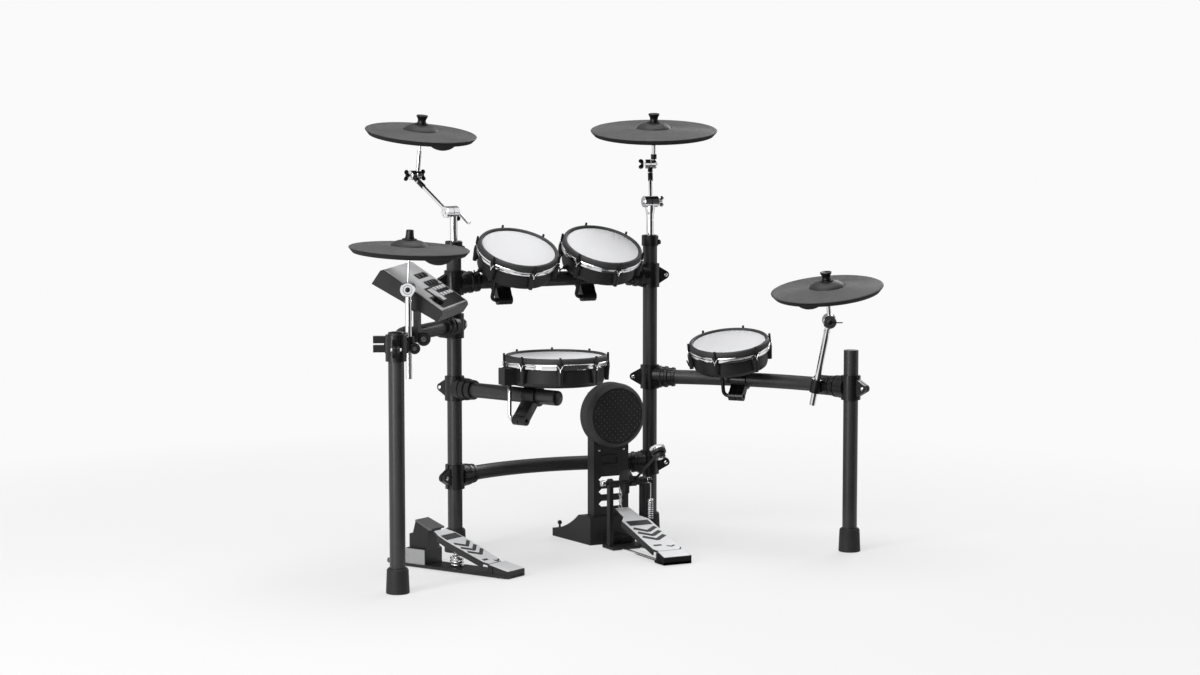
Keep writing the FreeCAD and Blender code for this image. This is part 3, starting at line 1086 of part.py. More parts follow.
def build_hihat_pedal():
    """The hi-hat controller: plate with sensor housing, footboard and return spring."""
    ground = frame(at(size("hihat_x"), size("hihat_y"), 0), plan(size("hihat_turn")))
    long, wide = "hihat_long", "hihat_wide"
    deck = plate("hihat_deck", [
        ("0", f"12 - {wide} / 2"), ("12", f"-{wide} / 2"), (f"{long} - 10", f"-{wide} / 2"),
        (long, f"10 - {wide} / 2"), (long, f"{wide} / 2 - 10"), (f"{long} - 10", f"{wide} / 2"),
        ("12", f"{wide} / 2"), ("0", f"{wide} / 2 - 12")],
        "plate_thick", ground.multiply(moved(0, 0, size("pad_thick"))))
    pad_rows = (size("hihat_pad_back"), size("hihat_long - hihat_pad_front"))
    pad_side = size("hihat_wide / 2 - hihat_pad_side")
    pads = [cylinder("hihat_pad", "9", "pad_thick", ground.multiply(moved(x, y, 0)))
            for x in pad_rows for y in (-pad_side, pad_side)]
    deck_top = "(pad_thick + plate_thick)"
    front = "(box_back + box_long)"
    box = on_side("hihat_box", [("box_back", deck_top), (front, deck_top), (front, "box_top"),
                                ("box_back", "box_top")], "box_wide", ground)
    lip = "(hood_front - 3)"
    hood = on_side("hihat_hood", [
        ("box_back + 6", "box_top - 6"), (f"{front} - 2", "box_top - 6"), (f"{front} + 5", lip),
        (f"{front} + 14", lip), (f"{front} + 15", "hood_front"), ("box_back + 27", "hood_top"),
        ("box_back + 18", "box_top + 40"), ("box_back + 6", "box_top + 36")], "hood_wide", ground)
    heel = on_side("hihat_heel", [
        ("hihat_hinge + 12", f"{deck_top} - 2"), (long, f"{deck_top} - 2"), (long, "heel_level - 5"),
        (f"{long} - 4", "heel_level - 1"), ("hihat_hinge + 12", "heel_level + 4")], f"{wide} - 8", ground)
    hinge = size("hihat_hinge")
    level = size("heel_level")
    ears = [block("hihat_ear", "16", "10", "heel_level + 6 - 2", ground.multiply(moved(hinge, side * 30, 2)))
            for side in (-1, 1)]
    ends = [ground.multVec(Vector(hinge, y, level)) for y in (-34, 34)]
    pin = stick("hihat_pin", ends[0], ends[1], "3")
    node("hihat_base", joined("hihat_base", [deck, box, hood, heel, pin] + ears + pads))
    board = ground.multiply(Placement(Vector(hinge, 0, level), Rotation(Vector(0, 1, 0), size("hihat_angle"))))
    tread = plate("hihat_tread", [
        ("-9", "-24"), ("-26", "6 - hihat_board_wide / 2"), ("62 - hihat_board", "-hihat_board_wide / 2"),
        ("24 - hihat_board", "4 - hihat_board_wide / 2"), ("-hihat_board", "15 - hihat_board_wide / 2"),
        ("-hihat_board", "hihat_board_wide / 2 - 15"), ("24 - hihat_board", "hihat_board_wide / 2 - 4"),
        ("62 - hihat_board", "hihat_board_wide / 2"), ("-26", "hihat_board_wide / 2 - 6"), ("-9", "24")],
        "board_thick", board)
    across = Rotation(Vector(1, 0, 0), -90)
    knuckle = cylinder("hihat_knuckle", "7", "49", board.multiply(Placement(Vector(0, -24.5, 0), across)))
    tongue = block("hihat_tongue", "16", "49", "board_thick", board.multiply(moved(-6, 0, 0)))
    bore = cylinder("hihat_bore", "3 + turn_gap", "80", board.multiply(Placement(Vector(0, -40, 0), across)))
    board_block = joined("hihat_board_block", [tread, knuckle, tongue])
    node("hihat_footboard", less("hihat_footboard", board_block, bore))
    spot = size("hihat_spring_at")
    near = spot + size("hihat_coil") + size("hihat_wire")
    under = level + (hinge - near) * math.tan(math.radians(size("hihat_angle")))
    wire = size("hihat_wire")
    foot = 2 + size("plate_thick") + wire / 2 + 0.3
    height = under - 0.3 - wire / 2 - foot
    node("hihat_spring", coil("hihat_spring", ground.multVec(Vector(spot, 0, foot)), size("hihat_coil"), wire,
                              size("hihat_turns"), height))


build_rack()
build_wing("left", LEFT_LINE, left_outer, "left_post_top",
           [tube_holder("hihat_holder", HIHAT_HOLDER), module_bracket(MODULE_HOLDER)])
build_wing("right", RIGHT_LINE, right_outer, "right_post_top",
           [tube_holder("side_holder", SIDE_HOLDER, "side_lean")])
build_snare_arm()
TOM_PITCH = "(mesh_small + 2 * hoop_reach + tom_gap)"
TOM_FREE = f"(inner_spacing - 2 * socket_reach - pad_clamp_wide - {TOM_PITCH})"
TOM_LEFT = f"socket_reach + pad_clamp_wide / 2 + tom_share * {TOM_FREE}"
TOM_RIGHT = f"{TOM_LEFT} + {TOM_PITCH}"
for pad in (
        Pad("tom_left", TOM_LINE, size(TOM_LEFT), leaning("tom_angle"), "mesh_small", "tom_depth", "tom_rise",
            "tom_forward", 6, "tom_ahead"),
        Pad("tom_right", TOM_LINE, size(TOM_RIGHT), leaning("tom_angle"), "mesh_small", "tom_depth", "tom_rise",
            "tom_forward", 6, "tom_ahead"),
        Pad("floor_tom", RIGHT_LINE, size("floor_along - floor_ahead"), leaning("floor_angle"), "mesh_small",
            "tom_depth", "floor_rise", "floor_forward", 6, "floor_ahead"),
        Pad("snare", SNARE_LINE, size("snare_along - snare_ahead"), leaning("0"), "mesh_large", "snare_depth",
            "snare_rise", "snare_aside", 8, "snare_ahead", "snare_rod_aside", "snare_rod_drop", True)):
    pad.build()
build_cymbals()
build_module()
build_kick_tower()
build_kick_pedal()
build_hihat_pedal()
doc.recompute()

for item in doc.Objects:
    if "Invalid" in item.State or "Error" in item.State:
        raise RuntimeError(f"{item.Name} does not rebuild: {item.State}")

os.makedirs("parts", exist_ok=True)
for name, item in NODES.items():
    shape = Part.getShape(item)
    if shape.isNull() or not shape.isValid():
        raise RuntimeError(f"{name} has no valid shape")
    shape.exportStep(f"parts/{name}.step")
print(f"{len(NODES)} sub-parts written")
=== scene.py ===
import logging
import math
from dataclasses import dataclass
from enum import Enum
from functools import cache
from typing import Optional, Sequence, Union

import bmesh
import bpy
from mathutils import Matrix, Vector


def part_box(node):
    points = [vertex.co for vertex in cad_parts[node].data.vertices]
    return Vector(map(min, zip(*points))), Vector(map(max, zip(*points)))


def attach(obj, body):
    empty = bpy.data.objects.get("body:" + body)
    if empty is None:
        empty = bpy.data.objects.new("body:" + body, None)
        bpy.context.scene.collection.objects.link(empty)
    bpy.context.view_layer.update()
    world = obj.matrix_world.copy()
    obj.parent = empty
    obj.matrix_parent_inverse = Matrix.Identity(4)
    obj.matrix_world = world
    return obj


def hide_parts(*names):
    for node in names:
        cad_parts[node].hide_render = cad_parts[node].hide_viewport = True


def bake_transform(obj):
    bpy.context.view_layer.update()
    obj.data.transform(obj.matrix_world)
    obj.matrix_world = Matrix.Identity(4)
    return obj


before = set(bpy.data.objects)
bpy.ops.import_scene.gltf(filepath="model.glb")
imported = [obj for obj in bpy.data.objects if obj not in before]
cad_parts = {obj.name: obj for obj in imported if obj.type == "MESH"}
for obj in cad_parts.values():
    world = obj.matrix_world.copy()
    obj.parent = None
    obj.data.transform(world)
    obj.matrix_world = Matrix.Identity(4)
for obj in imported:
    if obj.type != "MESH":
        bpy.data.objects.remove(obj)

LOG = logging.getLogger("drum_kit")
Pair = tuple[float, float]
Point = tuple[float, float, float]
Profile = Sequence[Pair]
Socket = bpy.types.NodeSocket
Value = Union[Socket, float, str, Sequence[float]]

MM = 0.001
TO_MM = 1000
UP: Point = (0, 0, 1)
SIDES = (-1, 1)
QUARTER = math.radians(90)
SHARP = 40.0
SHARP_COPY = 32.0
SHARP_BOX = 35.0
SHARP_ROUND = 50.0
MERGE = 1e-6
MERGE_RINGS = 1e-4
EDGE_SEGMENTS = 2
WING_NUT = {"Hub Radius": 0.0055, "Hub Length": 0.008, "Lobe Reach": 0.012, "Lobe Rise": 0.012}
DRUMMER: Point = (-0.458, -0.889, 0.0)
ASIDE: Point = (0.889, -0.458, 0.0)
LEFT_POST: Pair = (-0.29078, 0.17851)
RIGHT_POST: Pair = (0.31122, 0.17851)
LEFT_OUTER: Pair = (-0.66326, -0.29823)
POST_TOP = 0.844
SNARE_WAY: Point = (0.39555, -0.91845, 0.0)
KICK_PLACE: Point = (0.14822, 0.10051, 0.0)
CRASH_AXIS: Point = (0.9909, 0.13457, 0)
RIDE_AXIS: Point = (0.8888, -0.45829, 0)
HIHAT_AXIS: Point = (-0.45539, -0.88917, -0.04477)
SIDE_AXIS: Point = (-0.43528, -0.88797, -0.14846)


class Texture(Enum):
    """The kind of surface detail that a finish has."""

    POWDER = "powder coat"
    MOULDED = "moulded plastic"
    RUBBER = "rubber"
    BRUSHED = "brushed metal"
    POLISHED = "polished metal"
    WOVEN = "woven mesh"
    GROOVED = "turned grooves"


class Wiring:
    """A node tree under construction."""

    def __init__(self, tree: bpy.types.NodeTree) -> None:
        """Takes the tree that gets the nodes."""
        self.tree = tree

    def put(self, socket: Socket, value: Value) -> None:
        """Links a socket to an input, or sets its value."""
        if isinstance(value, Socket):
            self.tree.links.new(value, socket)
        else:
            socket.default_value = value

    def add(self, kind: str, settings: Optional[dict[str, object]] = None, **inputs: Value) -> bpy.types.Node:
        """Adds a node.

        Args:
            kind: the node's type.
            settings: properties of the node.
            inputs: sockets or values by input name, with _ for a space.

        Returns:
            The node.
        """
        node = self.tree.nodes.new(kind)
        for key, value in (settings or {}).items():
            setattr(node, key, value)
        for key, value in inputs.items():
            self.put(node.inputs[key.replace("_", " ")], value)
        return node

    def made(self, kind: str, settings: Optional[dict[str, object]] = None, **inputs: Value) -> Socket:
        """Adds a node as add() does and returns its first output."""
        return self.add(kind, settings, **inputs).outputs[0]

    def filled(self, kind: str, operation: Optional[str], *values: Value) -> bpy.types.Node:
        """Adds a node whose inputs are filled in their order.

        Args:
            kind: the node's type.
            operation: the node's operation, if it has one.
            values: sockets or values.

        Returns:
            The node.
        """
        node = self.add(kind, {"operation": operation} if operation else None)
        for socket, value in zip(node.inputs, values):
            self.put(socket, value)
        return node

    def math(self, operation: str, first: Value, second: Value = 0.0) -> Socket:
        """Adds a Math node and returns its output."""
        return self.filled("ShaderNodeMath", operation, first, second).outputs[0]

    def times(self, first: Value, second: Value) -> Socket:
        """The product of two values."""
        return self.math("MULTIPLY", first, second)

    def vector(self, operation: str, *values: Value) -> bpy.types.Node:
        """Adds a Vector Math node."""
        return self.filled("ShaderNodeVectorMath", operation, *values)

    def xyz(self, x: Value = 0.0, y: Value = 0.0, z: Value = 0.0) -> Socket:
        """Adds a Combine XYZ node and returns its vector."""
        return self.filled("ShaderNodeCombineXYZ", None, x, y, z).outputs[0]

    def ranged(self, value: Socket, given: Pair, wanted: Pair) -> Socket:
        """Maps a value from one range to another."""
        return self.made("ShaderNodeMapRange", From_Min=given[0], From_Max=given[1], To_Min=wanted[0],
                         To_Max=wanted[1], Value=value)

    def mixed(self, share: Socket, first: Socket, second: Socket) -> Socket:
        """Mixes two shaders."""
        return self.filled("ShaderNodeMixShader", None, share, first, second).outputs[0]

    def interface(self, label: str, form: str, way: str = "INPUT", value: Optional[float] = None) -> None:
        """Adds a socket to the tree's interface.

        Args:
            label: the socket's name.
            form: its type.
            way: INPUT or OUTPUT.
            value: its default.
        """
        socket = self.tree.interface.new_socket(label, in_out=way, socket_type="NodeSocket" + form)
        if value is not None:
            socket.default_value = value

    def ends(self) -> None:
        """Adds the nodes of the group's inputs and outputs."""
        self.source = self.tree.nodes.new("NodeGroupInput")
        self.sink = self.tree.nodes.new("NodeGroupOutput")

    def given(self, label: str) -> Socket:
        """The socket of a named input."""
        return self.source.outputs[label]


class ShaderGroup(Wiring):
    """A shader node group under construction, with named numbers in and out."""

    def __init__(self, name: str, inputs: dict[str, float], outputs: Sequence[str]) -> None:
        """Starts a group.

        Args:
            name: the group's name.
            inputs: the default of each input.
            outputs: the name of each output.
        """
        super().__init__(bpy.data.node_groups.new(name, "ShaderNodeTree"))
        for label, value in inputs.items():
            self.interface(label, "Float", value=value)
        for label in outputs:
            self.interface(label, "Float", "OUTPUT")
        self.ends()

    def close(self, **results: Socket) -> bpy.types.NodeTree:
        """Links the results to the outputs of the same names."""
        for label, socket in results.items():
            self.put(self.sink.inputs[label], socket)
        return self.tree


class ShaderGroups:
    """The shader node groups that several finishes share, each built once."""

    FINE_DETAIL = 3.0
    MARK_DETAIL = 4.0
    MARK_ROUGH = 0.6
    TONE_SCALE = 22.0
    TONE_DETAIL = 5.0

    @classmethod
    @cache
    def grain(cls) -> bpy.types.NodeTree:
        """Fine grain as a height, and slow marks of handling as a mask."""
        inputs = {"Grain Scale": 900.0, "Mark Scale": 14.0, "Stretch": 1.0}
        group = ShaderGroup("Surface Grain", inputs, ["Height", "Marks"])
        place = group.add("ShaderNodeTexCoord").outputs["Object"]
        across = group.vector("MULTIPLY", place, group.xyz(group.given("Stretch"), 1.0, 1.0)).outputs[0]
        fine = group.made("ShaderNodeTexNoise", Detail=cls.FINE_DETAIL, Vector=across,
                          Scale=group.given("Grain Scale"))
        slow = group.made("ShaderNodeTexNoise", Detail=cls.MARK_DETAIL, Roughness=cls.MARK_ROUGH,
                          Vector=place, Scale=group.given("Mark Scale"))
        return group.close(Height=fine, Marks=slow)

    @classmethod
    @cache
    def weave(cls) -> bpy.types.NodeTree:
        """Threads that cross on the piece's own map, as a height."""
        group = ShaderGroup("Mesh Weave", {"Threads": 900.0}, ["Height"])
        split = group.add("ShaderNodeSeparateXYZ", Vector=group.made("ShaderNodeUVMap")).outputs
        turns = [group.times(group.times(split[axis], group.given("Threads")), math.pi) for axis in range(2)]
        waves = [group.math("ABSOLUTE", group.math("SINE", turn)) for turn in turns]
        return group.close(Height=group.math("MAXIMUM", *waves))

    @classmethod
    @cache
    def rings(cls) -> bpy.types.NodeTree:
        """Turned rings round the middle of the piece's own map, as a height and a slow tone."""
        group = ShaderGroup("Turned Rings", {"Rings": 500.0}, ["Height", "Tone"])
        place = group.made("ShaderNodeUVMap")
        steps = group.times(group.vector("LENGTH", place).outputs["Value"], group.given("Rings"))
        slow = group.made("ShaderNodeTexNoise", Scale=cls.TONE_SCALE, Detail=cls.TONE_DETAIL, Vector=place)
        return group.close(Height=group.math("SINE", group.times(steps, 2 * math.pi)), Tone=slow)


def grey(value: float) -> Point:
    """A neutral colour."""
    return (value, value, value * 1.02)


@dataclass(frozen=True)
class Finish:
    """A surface finish: its dark and light tone, how rough it is, and its detail."""

    name: str
    texture: Texture
    tones: Pair
    rough: Pair
    metal: float = 0.0
    scale: float = 900.0
    marks: float = 14.0
    bump: float = 0.1
    depth: float = 0.0002
    specular: float = 0.5
    worn: Pair = (0.3, 0.7)
    brushed: float = 0.04

    @cache
    def material(self) -> bpy.types.Material:
        """Returns the finish's material, built on first use."""
        material = bpy.data.materials.new(self.name)
        material.use_nodes = True
        dark, light = [(*grey(tone), 1.0) for tone in self.tones]
        material.diffuse_color = light
        wiring = Wiring(material.node_tree)
        height, mask = self.detail(wiring)
        tone = wiring.add("ShaderNodeMix", {"data_type": "RGBA"}, A=dark, B=light, Factor=mask)
        bump = wiring.made("ShaderNodeBump", Strength=self.bump, Distance=self.depth, Height=height)
        values = {"Metallic": self.metal, "Specular IOR Level": self.specular,
                  "Base Color": tone.outputs["Result"],
                  "Roughness": wiring.ranged(mask, self.worn, self.rough), "Normal": bump}
        for label, value in values.items():
            wiring.put(material.node_tree.nodes["Principled BSDF"].inputs[label], value)
        return material

    def detail(self, wiring: Wiring) -> tuple[Socket, Socket]:
        """Places the shared group that gives this finish its detail.

        Args:
            wiring: the material's tree.

        Returns:
            The sockets of the height and of the tone mask.
        """
        if self.texture is Texture.WOVEN:
            tree, mask, sizes = ShaderGroups.weave(), "Height", {"Threads": self.scale}
        elif self.texture is Texture.GROOVED:
            tree, mask, sizes = ShaderGroups.rings(), "Tone", {"Rings": self.scale}
        else:
            stretch = self.brushed if self.texture is Texture.BRUSHED else 1.0
            tree, mask = ShaderGroups.grain(), "Marks"
            sizes = {"Grain Scale": self.scale, "Mark Scale": self.marks, "Stretch": stretch}
        group = wiring.add("ShaderNodeGroup", {"node_tree": tree}, **sizes)
        return group.outputs["Height"], group.outputs[mask]


class Finishes:
    TUBE = Finish("satin tube", Texture.POWDER, (0.022, 0.034), (0.3, 0.4), scale=1600, bump=0.12,
                  specular=0.42)
    CLAMP = Finish("gloss moulding", Texture.MOULDED, (0.004, 0.009), (0.22, 0.36), scale=700, bump=0.06,
                   specular=0.35)
    CAP = Finish("gloss cap", Texture.MOULDED, (0.01, 0.02), (0.06, 0.12), scale=700, bump=0.02)
    FOOT = Finish("foot rubber", Texture.RUBBER, (0.010, 0.02), (0.5, 0.7), scale=800, bump=0.25,
                  specular=0.3)
    SHELL = Finish("pad shell", Texture.MOULDED, (0.010, 0.02), (0.36, 0.5), scale=1300, bump=0.2,
                   specular=0.3)
    RIM = Finish("rim rubber", Texture.RUBBER, (0.024, 0.042), (0.45, 0.6), scale=1200, bump=0.15,
                 specular=0.35)
    MESH = Finish("mesh head", Texture.WOVEN, (0.66, 0.8), (0.6, 0.8), scale=900, bump=0.5, depth=0.0003)
    CHROME = Finish("chrome", Texture.POLISHED, (0.74, 0.86), (0.05, 0.12), metal=1.0, marks=30, bump=0.01)
    CYMBAL = Finish("cymbal rubber", Texture.GROOVED, (0.055, 0.12), (0.5, 0.66), scale=420, bump=0.4,
                    depth=0.0005, specular=0.22)
    BELL = Finish("bell rubber", Texture.RUBBER, (0.02, 0.036), (0.42, 0.55), scale=1400, bump=0.15,
                  specular=0.25)
    UNDER = Finish("cymbal underside", Texture.RUBBER, (0.008, 0.014), (0.6, 0.75), scale=1000, bump=0.15,
                   specular=0.2)
    BLACK = Finish("black plastic", Texture.MOULDED, (0.004, 0.009), (0.3, 0.42), scale=1000, bump=0.1,
                   specular=0.3)
    FELT = Finish("felt", Texture.RUBBER, (0.6, 0.8), (0.85, 0.98), scale=2600, bump=0.6, depth=0.0005)
    CASE = Finish("module case", Texture.MOULDED, (0.016, 0.028), (0.45, 0.6), scale=1500, bump=0.25,
                  specular=0.25)
    FRONT = Finish("module front", Texture.MOULDED, (0.09, 0.13), (0.42, 0.55), scale=1500, bump=0.2,
                   specular=0.3)
    PANEL = Finish("panel", Texture.BRUSHED, (0.4, 0.54), (0.34, 0.46), metal=0.3, scale=2400, bump=0.08)
    PRINT = Finish("panel print", Texture.MOULDED, (0.005, 0.011), (0.6, 0.75), scale=1500, bump=0.1,
                   specular=0.12)
    SCREEN = Finish("screen", Texture.POLISHED, (0.88, 0.94), (0.12, 0.2), marks=40, bump=0.0)
    KEY_LIGHT = Finish("light key", Texture.RUBBER, (0.74, 0.86), (0.5, 0.6), scale=1500, bump=0.1)
    KEY_DARK = Finish("dark key", Texture.RUBBER, (0.010, 0.02), (0.5, 0.6), scale=1500, bump=0.1,
                      specular=0.2)
    TOWER = Finish("tower steel", Texture.POWDER, (0.016, 0.028), (0.42, 0.56), scale=1100, bump=0.25,
                   specular=0.35)
    PAD = Finish("kick pad", Texture.RUBBER, (0.03, 0.05), (0.46, 0.6), scale=900, bump=0.3, specular=0.35)
    FACE = Finish("struck face", Texture.RUBBER, (0.02, 0.027), (0.6, 0.72), scale=1500, bump=0.2,
                  specular=0.2)
    DOT = Finish("face dots", Texture.RUBBER, (0.09, 0.13), (0.5, 0.6), scale=1500, bump=0.1)
    FRAME = Finish("pedal frame", Texture.POWDER, (0.009, 0.018), (0.34, 0.48), scale=1200, bump=0.15,
                   specular=0.3)
    BOARD = Finish("cast board", Texture.BRUSHED, (0.8, 0.92), (0.34, 0.48), metal=0.1, scale=1600, bump=0.1)
    EDGE = Finish("board side", Texture.MOULDED, (0.018, 0.032), (0.4, 0.55), scale=1100, bump=0.2,
                  specular=0.3)
    STEEL = Finish("steel screw", Texture.POLISHED, (0.6, 0.76), (0.14, 0.26), metal=1.0, marks=60, bump=0.02)
    HOUSING = Finish("controller housing", Texture.MOULDED, (0.22, 0.46), (0.42, 0.55), scale=600, marks=900,
                     bump=0.3)


def local_frame(origin: Point, along: Point, up: Point = UP) -> Matrix:
    """A placement in metres.

    Args:
        origin: where it stands.
        along: its X direction.
        up: its Z direction.

    Returns:
        The placement as a matrix.
    """
    z_axis = Vector(up).normalized()
    y_axis = z_axis.cross(Vector(along)).normalized()
    x_axis = y_axis.cross(z_axis)
    turn = Matrix((x_axis, y_axis, z_axis)).transposed().to_4x4()
    return Matrix.Translation(origin) @ turn


def shifted(x: float = 0, y: float = 0, z: float = 0) -> Matrix:
    """A shift, in the unit of the frame that it is used in."""
    return Matrix.Translation((x, y, z))


def rotated(angle: float, axis: str) -> Matrix:
    """A turn in degrees round a named axis."""
    return Matrix.Rotation(math.radians(angle), 4, axis)


def aimed(start: Vector, direction: Vector) -> Matrix:
    """A placement at a point whose Z runs in a direction."""
    return Matrix.Translation(start) @ Vector(direction).to_track_quat("Z", "Y").to_matrix().to_4x4()


def grown(profile: Profile, radius: float, level: float = 0) -> list[Pair]:
    """A profile that starts from a radius and a level."""
    return [(radius + r, level + z) for r, z in profile]


@dataclass(frozen=True)
class Bar:
    """A round bar: its ends, its radius, the index of its finish, its faces round, and its chamfer."""

    start: Point
    end: Point
    radius: float
    finish: int = 0
    steps: int = 14
    nose: float = 0.0


@dataclass(frozen=True)
class Block:
    """A block: its size and the middle of its lower face."""

    size: Point
    place: Point


@dataclass(frozen=True)
class Side:
    """A side profile: its outline, its width and the index of its finish."""

    outline: Profile
    wide: float
    finish: int = 0


class Shape:
    """A mesh that is built from turned, flat and drawn forms, in millimetres of a local frame."""

    def __init__(self, where: Matrix = Matrix()) -> None:
        """Starts an empty mesh in a frame whose origin is in metres."""
        self.where = where
        self.work = bmesh.new()

    def ring(self, points: Sequence[Point], place: Matrix = Matrix()) -> list[bmesh.types.BMVert]:
        """Adds points as vertices, moved by a placement."""
        return [self.work.verts.new(place @ Vector(point)) for point in points]

    def face(self, corners: Sequence[bmesh.types.BMVert], finish: int) -> None:
        """Adds a face of three or more different corners."""
        unique = list(dict.fromkeys(corners))
        if len(unique) > 2:
            self.work.faces.new(unique).material_index = finish

    def bridge(self, low: list[bmesh.types.BMVert], high: list[bmesh.types.BMVert], finish: int) -> None:
        """Joins two rings with faces; a ring of one vertex is a pole."""
        count = max(len(low), len(high))
        for here in range(count):
            there = (here + 1) % count
            near = (low[here % len(low)], low[there % len(low)])
            far = (high[there % len(high)], high[here % len(high)])
            self.face((*near, *far), finish)

    def turned(self, profile: Profile, finish: int = 0, steps: int = 40, place: Matrix = Matrix(),
               closed: bool = True) -> None:
        """Turns a profile of (radius, height) round the local Z.

        Args:
            profile: corners.
            finish: index of the finish.
            steps: faces round the axis.
            place: placement in the local frame.
            closed: whether a profile off the axis closes on itself.
        """
        turns = [2 * math.pi * step / steps for step in range(steps)]
        rings = []
        for radius, level in profile:
            points = [(radius * math.cos(turn), radius * math.sin(turn), level) for turn in turns]
            rings.append(self.ring(points if radius else points[:1], place))
        pairs = list(zip(rings, rings[1:]))
        if closed and len(rings[0]) > 1 and len(rings[-1]) > 1:
            pairs.append((rings[-1], rings[0]))
        for low, high in pairs:
            self.bridge(low, high, finish)

    def flat(self, outline: Profile, low: float, high: float, finish: int = 0,
             place: Matrix = Matrix()) -> None:
        """A plate: an outline in the local XY, from one level to another."""
        under, over = [self.ring([(x, y, level) for x, y in outline], place) for level in (low, high)]
        self.bridge(under, over, finish)
        self.face(under, finish)
        self.face(over, finish)

    def panel(self, low: Pair, high: Pair, levels: Pair, finish: int = 0) -> None:
        """A plate from one corner to the other, between two levels."""
        (left, near), (right, far) = low, high
        self.flat([(left, near), (right, near), (right, far), (left, far)], *levels, finish)

    def block(self, size: Point, finish: int = 0, place: Matrix = Matrix()) -> None:
        """A block that stands on the middle of its lower face."""
        x, y = size[0] / 2, size[1] / 2
        self.flat([(-x, -y), (x, -y), (x, y), (-x, y)], 0, size[2], finish, place)

    def profile(self, outline: Profile, wide: float, finish: int = 0, place: Matrix = Matrix()) -> None:
        """A side profile in the local XZ, as wide as asked on both sides of the middle."""
        self.flat(outline, 0, wide, finish, place @ (shifted(0, wide / 2) @ rotated(90, "X")))

    def rod(self, start: Sequence[float], end: Sequence[float], radius: float, finish: int = 0,
            steps: int = 20, nose: float = 0.0) -> None:
        """A round bar between two points, with chamfered ends if asked."""
        way = Vector(end) - Vector(start)
        long = way.length
        sides = [(radius, 0), (radius, long)]
        if nose:
            sides = [(radius - nose, 0), (radius, nose), (radius, long - nose), (radius - nose, long)]
        self.turned([(0, 0), *sides, (0, long)], finish, steps, aimed(Vector(start), way))

    def add(self, *parts: Bar | Block | Side, place: Matrix = Matrix()) -> None:
        """Adds bars, and blocks and side profiles from a placement."""
        for part in parts:
            if isinstance(part, Bar):
                self.rod(part.start, part.end, part.radius, part.finish, part.steps, part.nose)
            elif isinstance(part, Block):
                self.block(part.size, 0, place @ shifted(*part.place))
            else:
                self.profile(part.outline, part.wide, part.finish, place)

    def drawn(self, path: Sequence[Sequence[float]], radius: float, finish: int = 0, steps: int = 12) -> None:
        """A round wire along a path, closed at both ends."""
        points = [Vector(point) for point in path]
        turns = [2 * math.pi * step / steps for step in range(steps)]
        normal = None
        rings = [self.ring(points[:1])]
        for index, point in enumerate(points):
            before, after = points[max(index - 1, 0)], points[min(index + 1, len(points) - 1)]
            way = (after - before).normalized()
            if normal is None:
                normal = way.orthogonal().normalized()
            normal = (normal - way * normal.dot(way)).normalized()
            side = way.cross(normal)
            ways = [normal * math.cos(turn) + side * math.sin(turn) for turn in turns]
            rings.append(self.ring([point + out * radius for out in ways]))
        rings.append(self.ring(points[-1:]))
        for low, high in zip(rings, rings[1:]):
            self.bridge(low, high, finish)

    def mesh(self, name: str, finishes: Sequence[Finish], angle: float) -> bpy.types.Mesh:
        """Closes the work.

        Args:
            name: the mesh's name.
            finishes: finishes in the order of their indices.
            angle: edges sharper than this, in degrees, stay sharp.

        Returns:
            The mesh in the row frame, with a map of the local X and Y in metres.
        """
        bmesh.ops.recalc_face_normals(self.work, faces=self.work.faces)
        layer = self.work.loops.layers.uv.new("local")
        for face in self.work.faces:
            for loop in face.loops:
                loop[layer].uv = loop.vert.co.xy * MM
        mesh = closed_mesh(name, self.work, finishes)
        mesh.transform(self.where @ Matrix.Scale(MM, 4))
        mesh.set_sharp_from_angle(angle=math.radians(angle))
        return mesh

    def piece(self, name: str, finishes: Sequence[Finish], body: str, slot: str, nodes: Sequence[str] = (),
              bevel: float = 0.0, angle: float = SHARP) -> bpy.types.Object:
        """Closes the work and puts it on its body, with the arguments of mesh() and add_piece()."""
        return add_piece(name, self.mesh(name, finishes, angle), body, nodes, bevel)


def closed_mesh(name: str, work: bmesh.types.BMesh, finishes: Sequence[Finish]) -> bpy.types.Mesh:
    """Turns finished work into a smooth mesh.

    Args:
        name: the mesh's name.
        work: the work, which is freed.
        finishes: finishes in the order of their indices.

    Returns:
        The mesh.
    """
    for face in work.faces:
        face.smooth = True
    mesh = bpy.data.meshes.new(name)
    work.to_mesh(mesh)
    work.free()
    for finish in finishes:
        mesh.materials.append(finish.material())
    return mesh


def shown(name: str, data: Optional[bpy.types.ID]) -> bpy.types.Object:
    """A new object in the scene."""
    item = bpy.data.objects.new(name, data)
    bpy.context.scene.collection.objects.link(item)
    return item


def add_piece(name: str, mesh: bpy.types.Mesh, body: str, nodes: Sequence[str] = (),
              bevel: float = 0.0) -> bpy.types.Object:
    """Puts a finished mesh on its body.

    Args:
        name: the piece's name.
        mesh: its mesh in the row frame.
        body: the CAD body that it rides on.
        nodes: CAD nodes that it stands for.
        bevel: width of rounded edges in millimetres.

    Returns:
        The piece.
    """
    piece = shown(name, mesh)
    if bevel:
        rounded = piece.modifiers.new("edges", "BEVEL")
        rounded.width = bevel * MM
        rounded.segments = EDGE_SEGMENTS
        rounded.limit_method = "ANGLE"
        rounded.angle_limit = math.radians(SHARP)
        rounded.harden_normals = True
    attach(piece, body)
    if nodes:
        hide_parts(*nodes)
    LOG.info("%s on %s", name, body)
    return piece


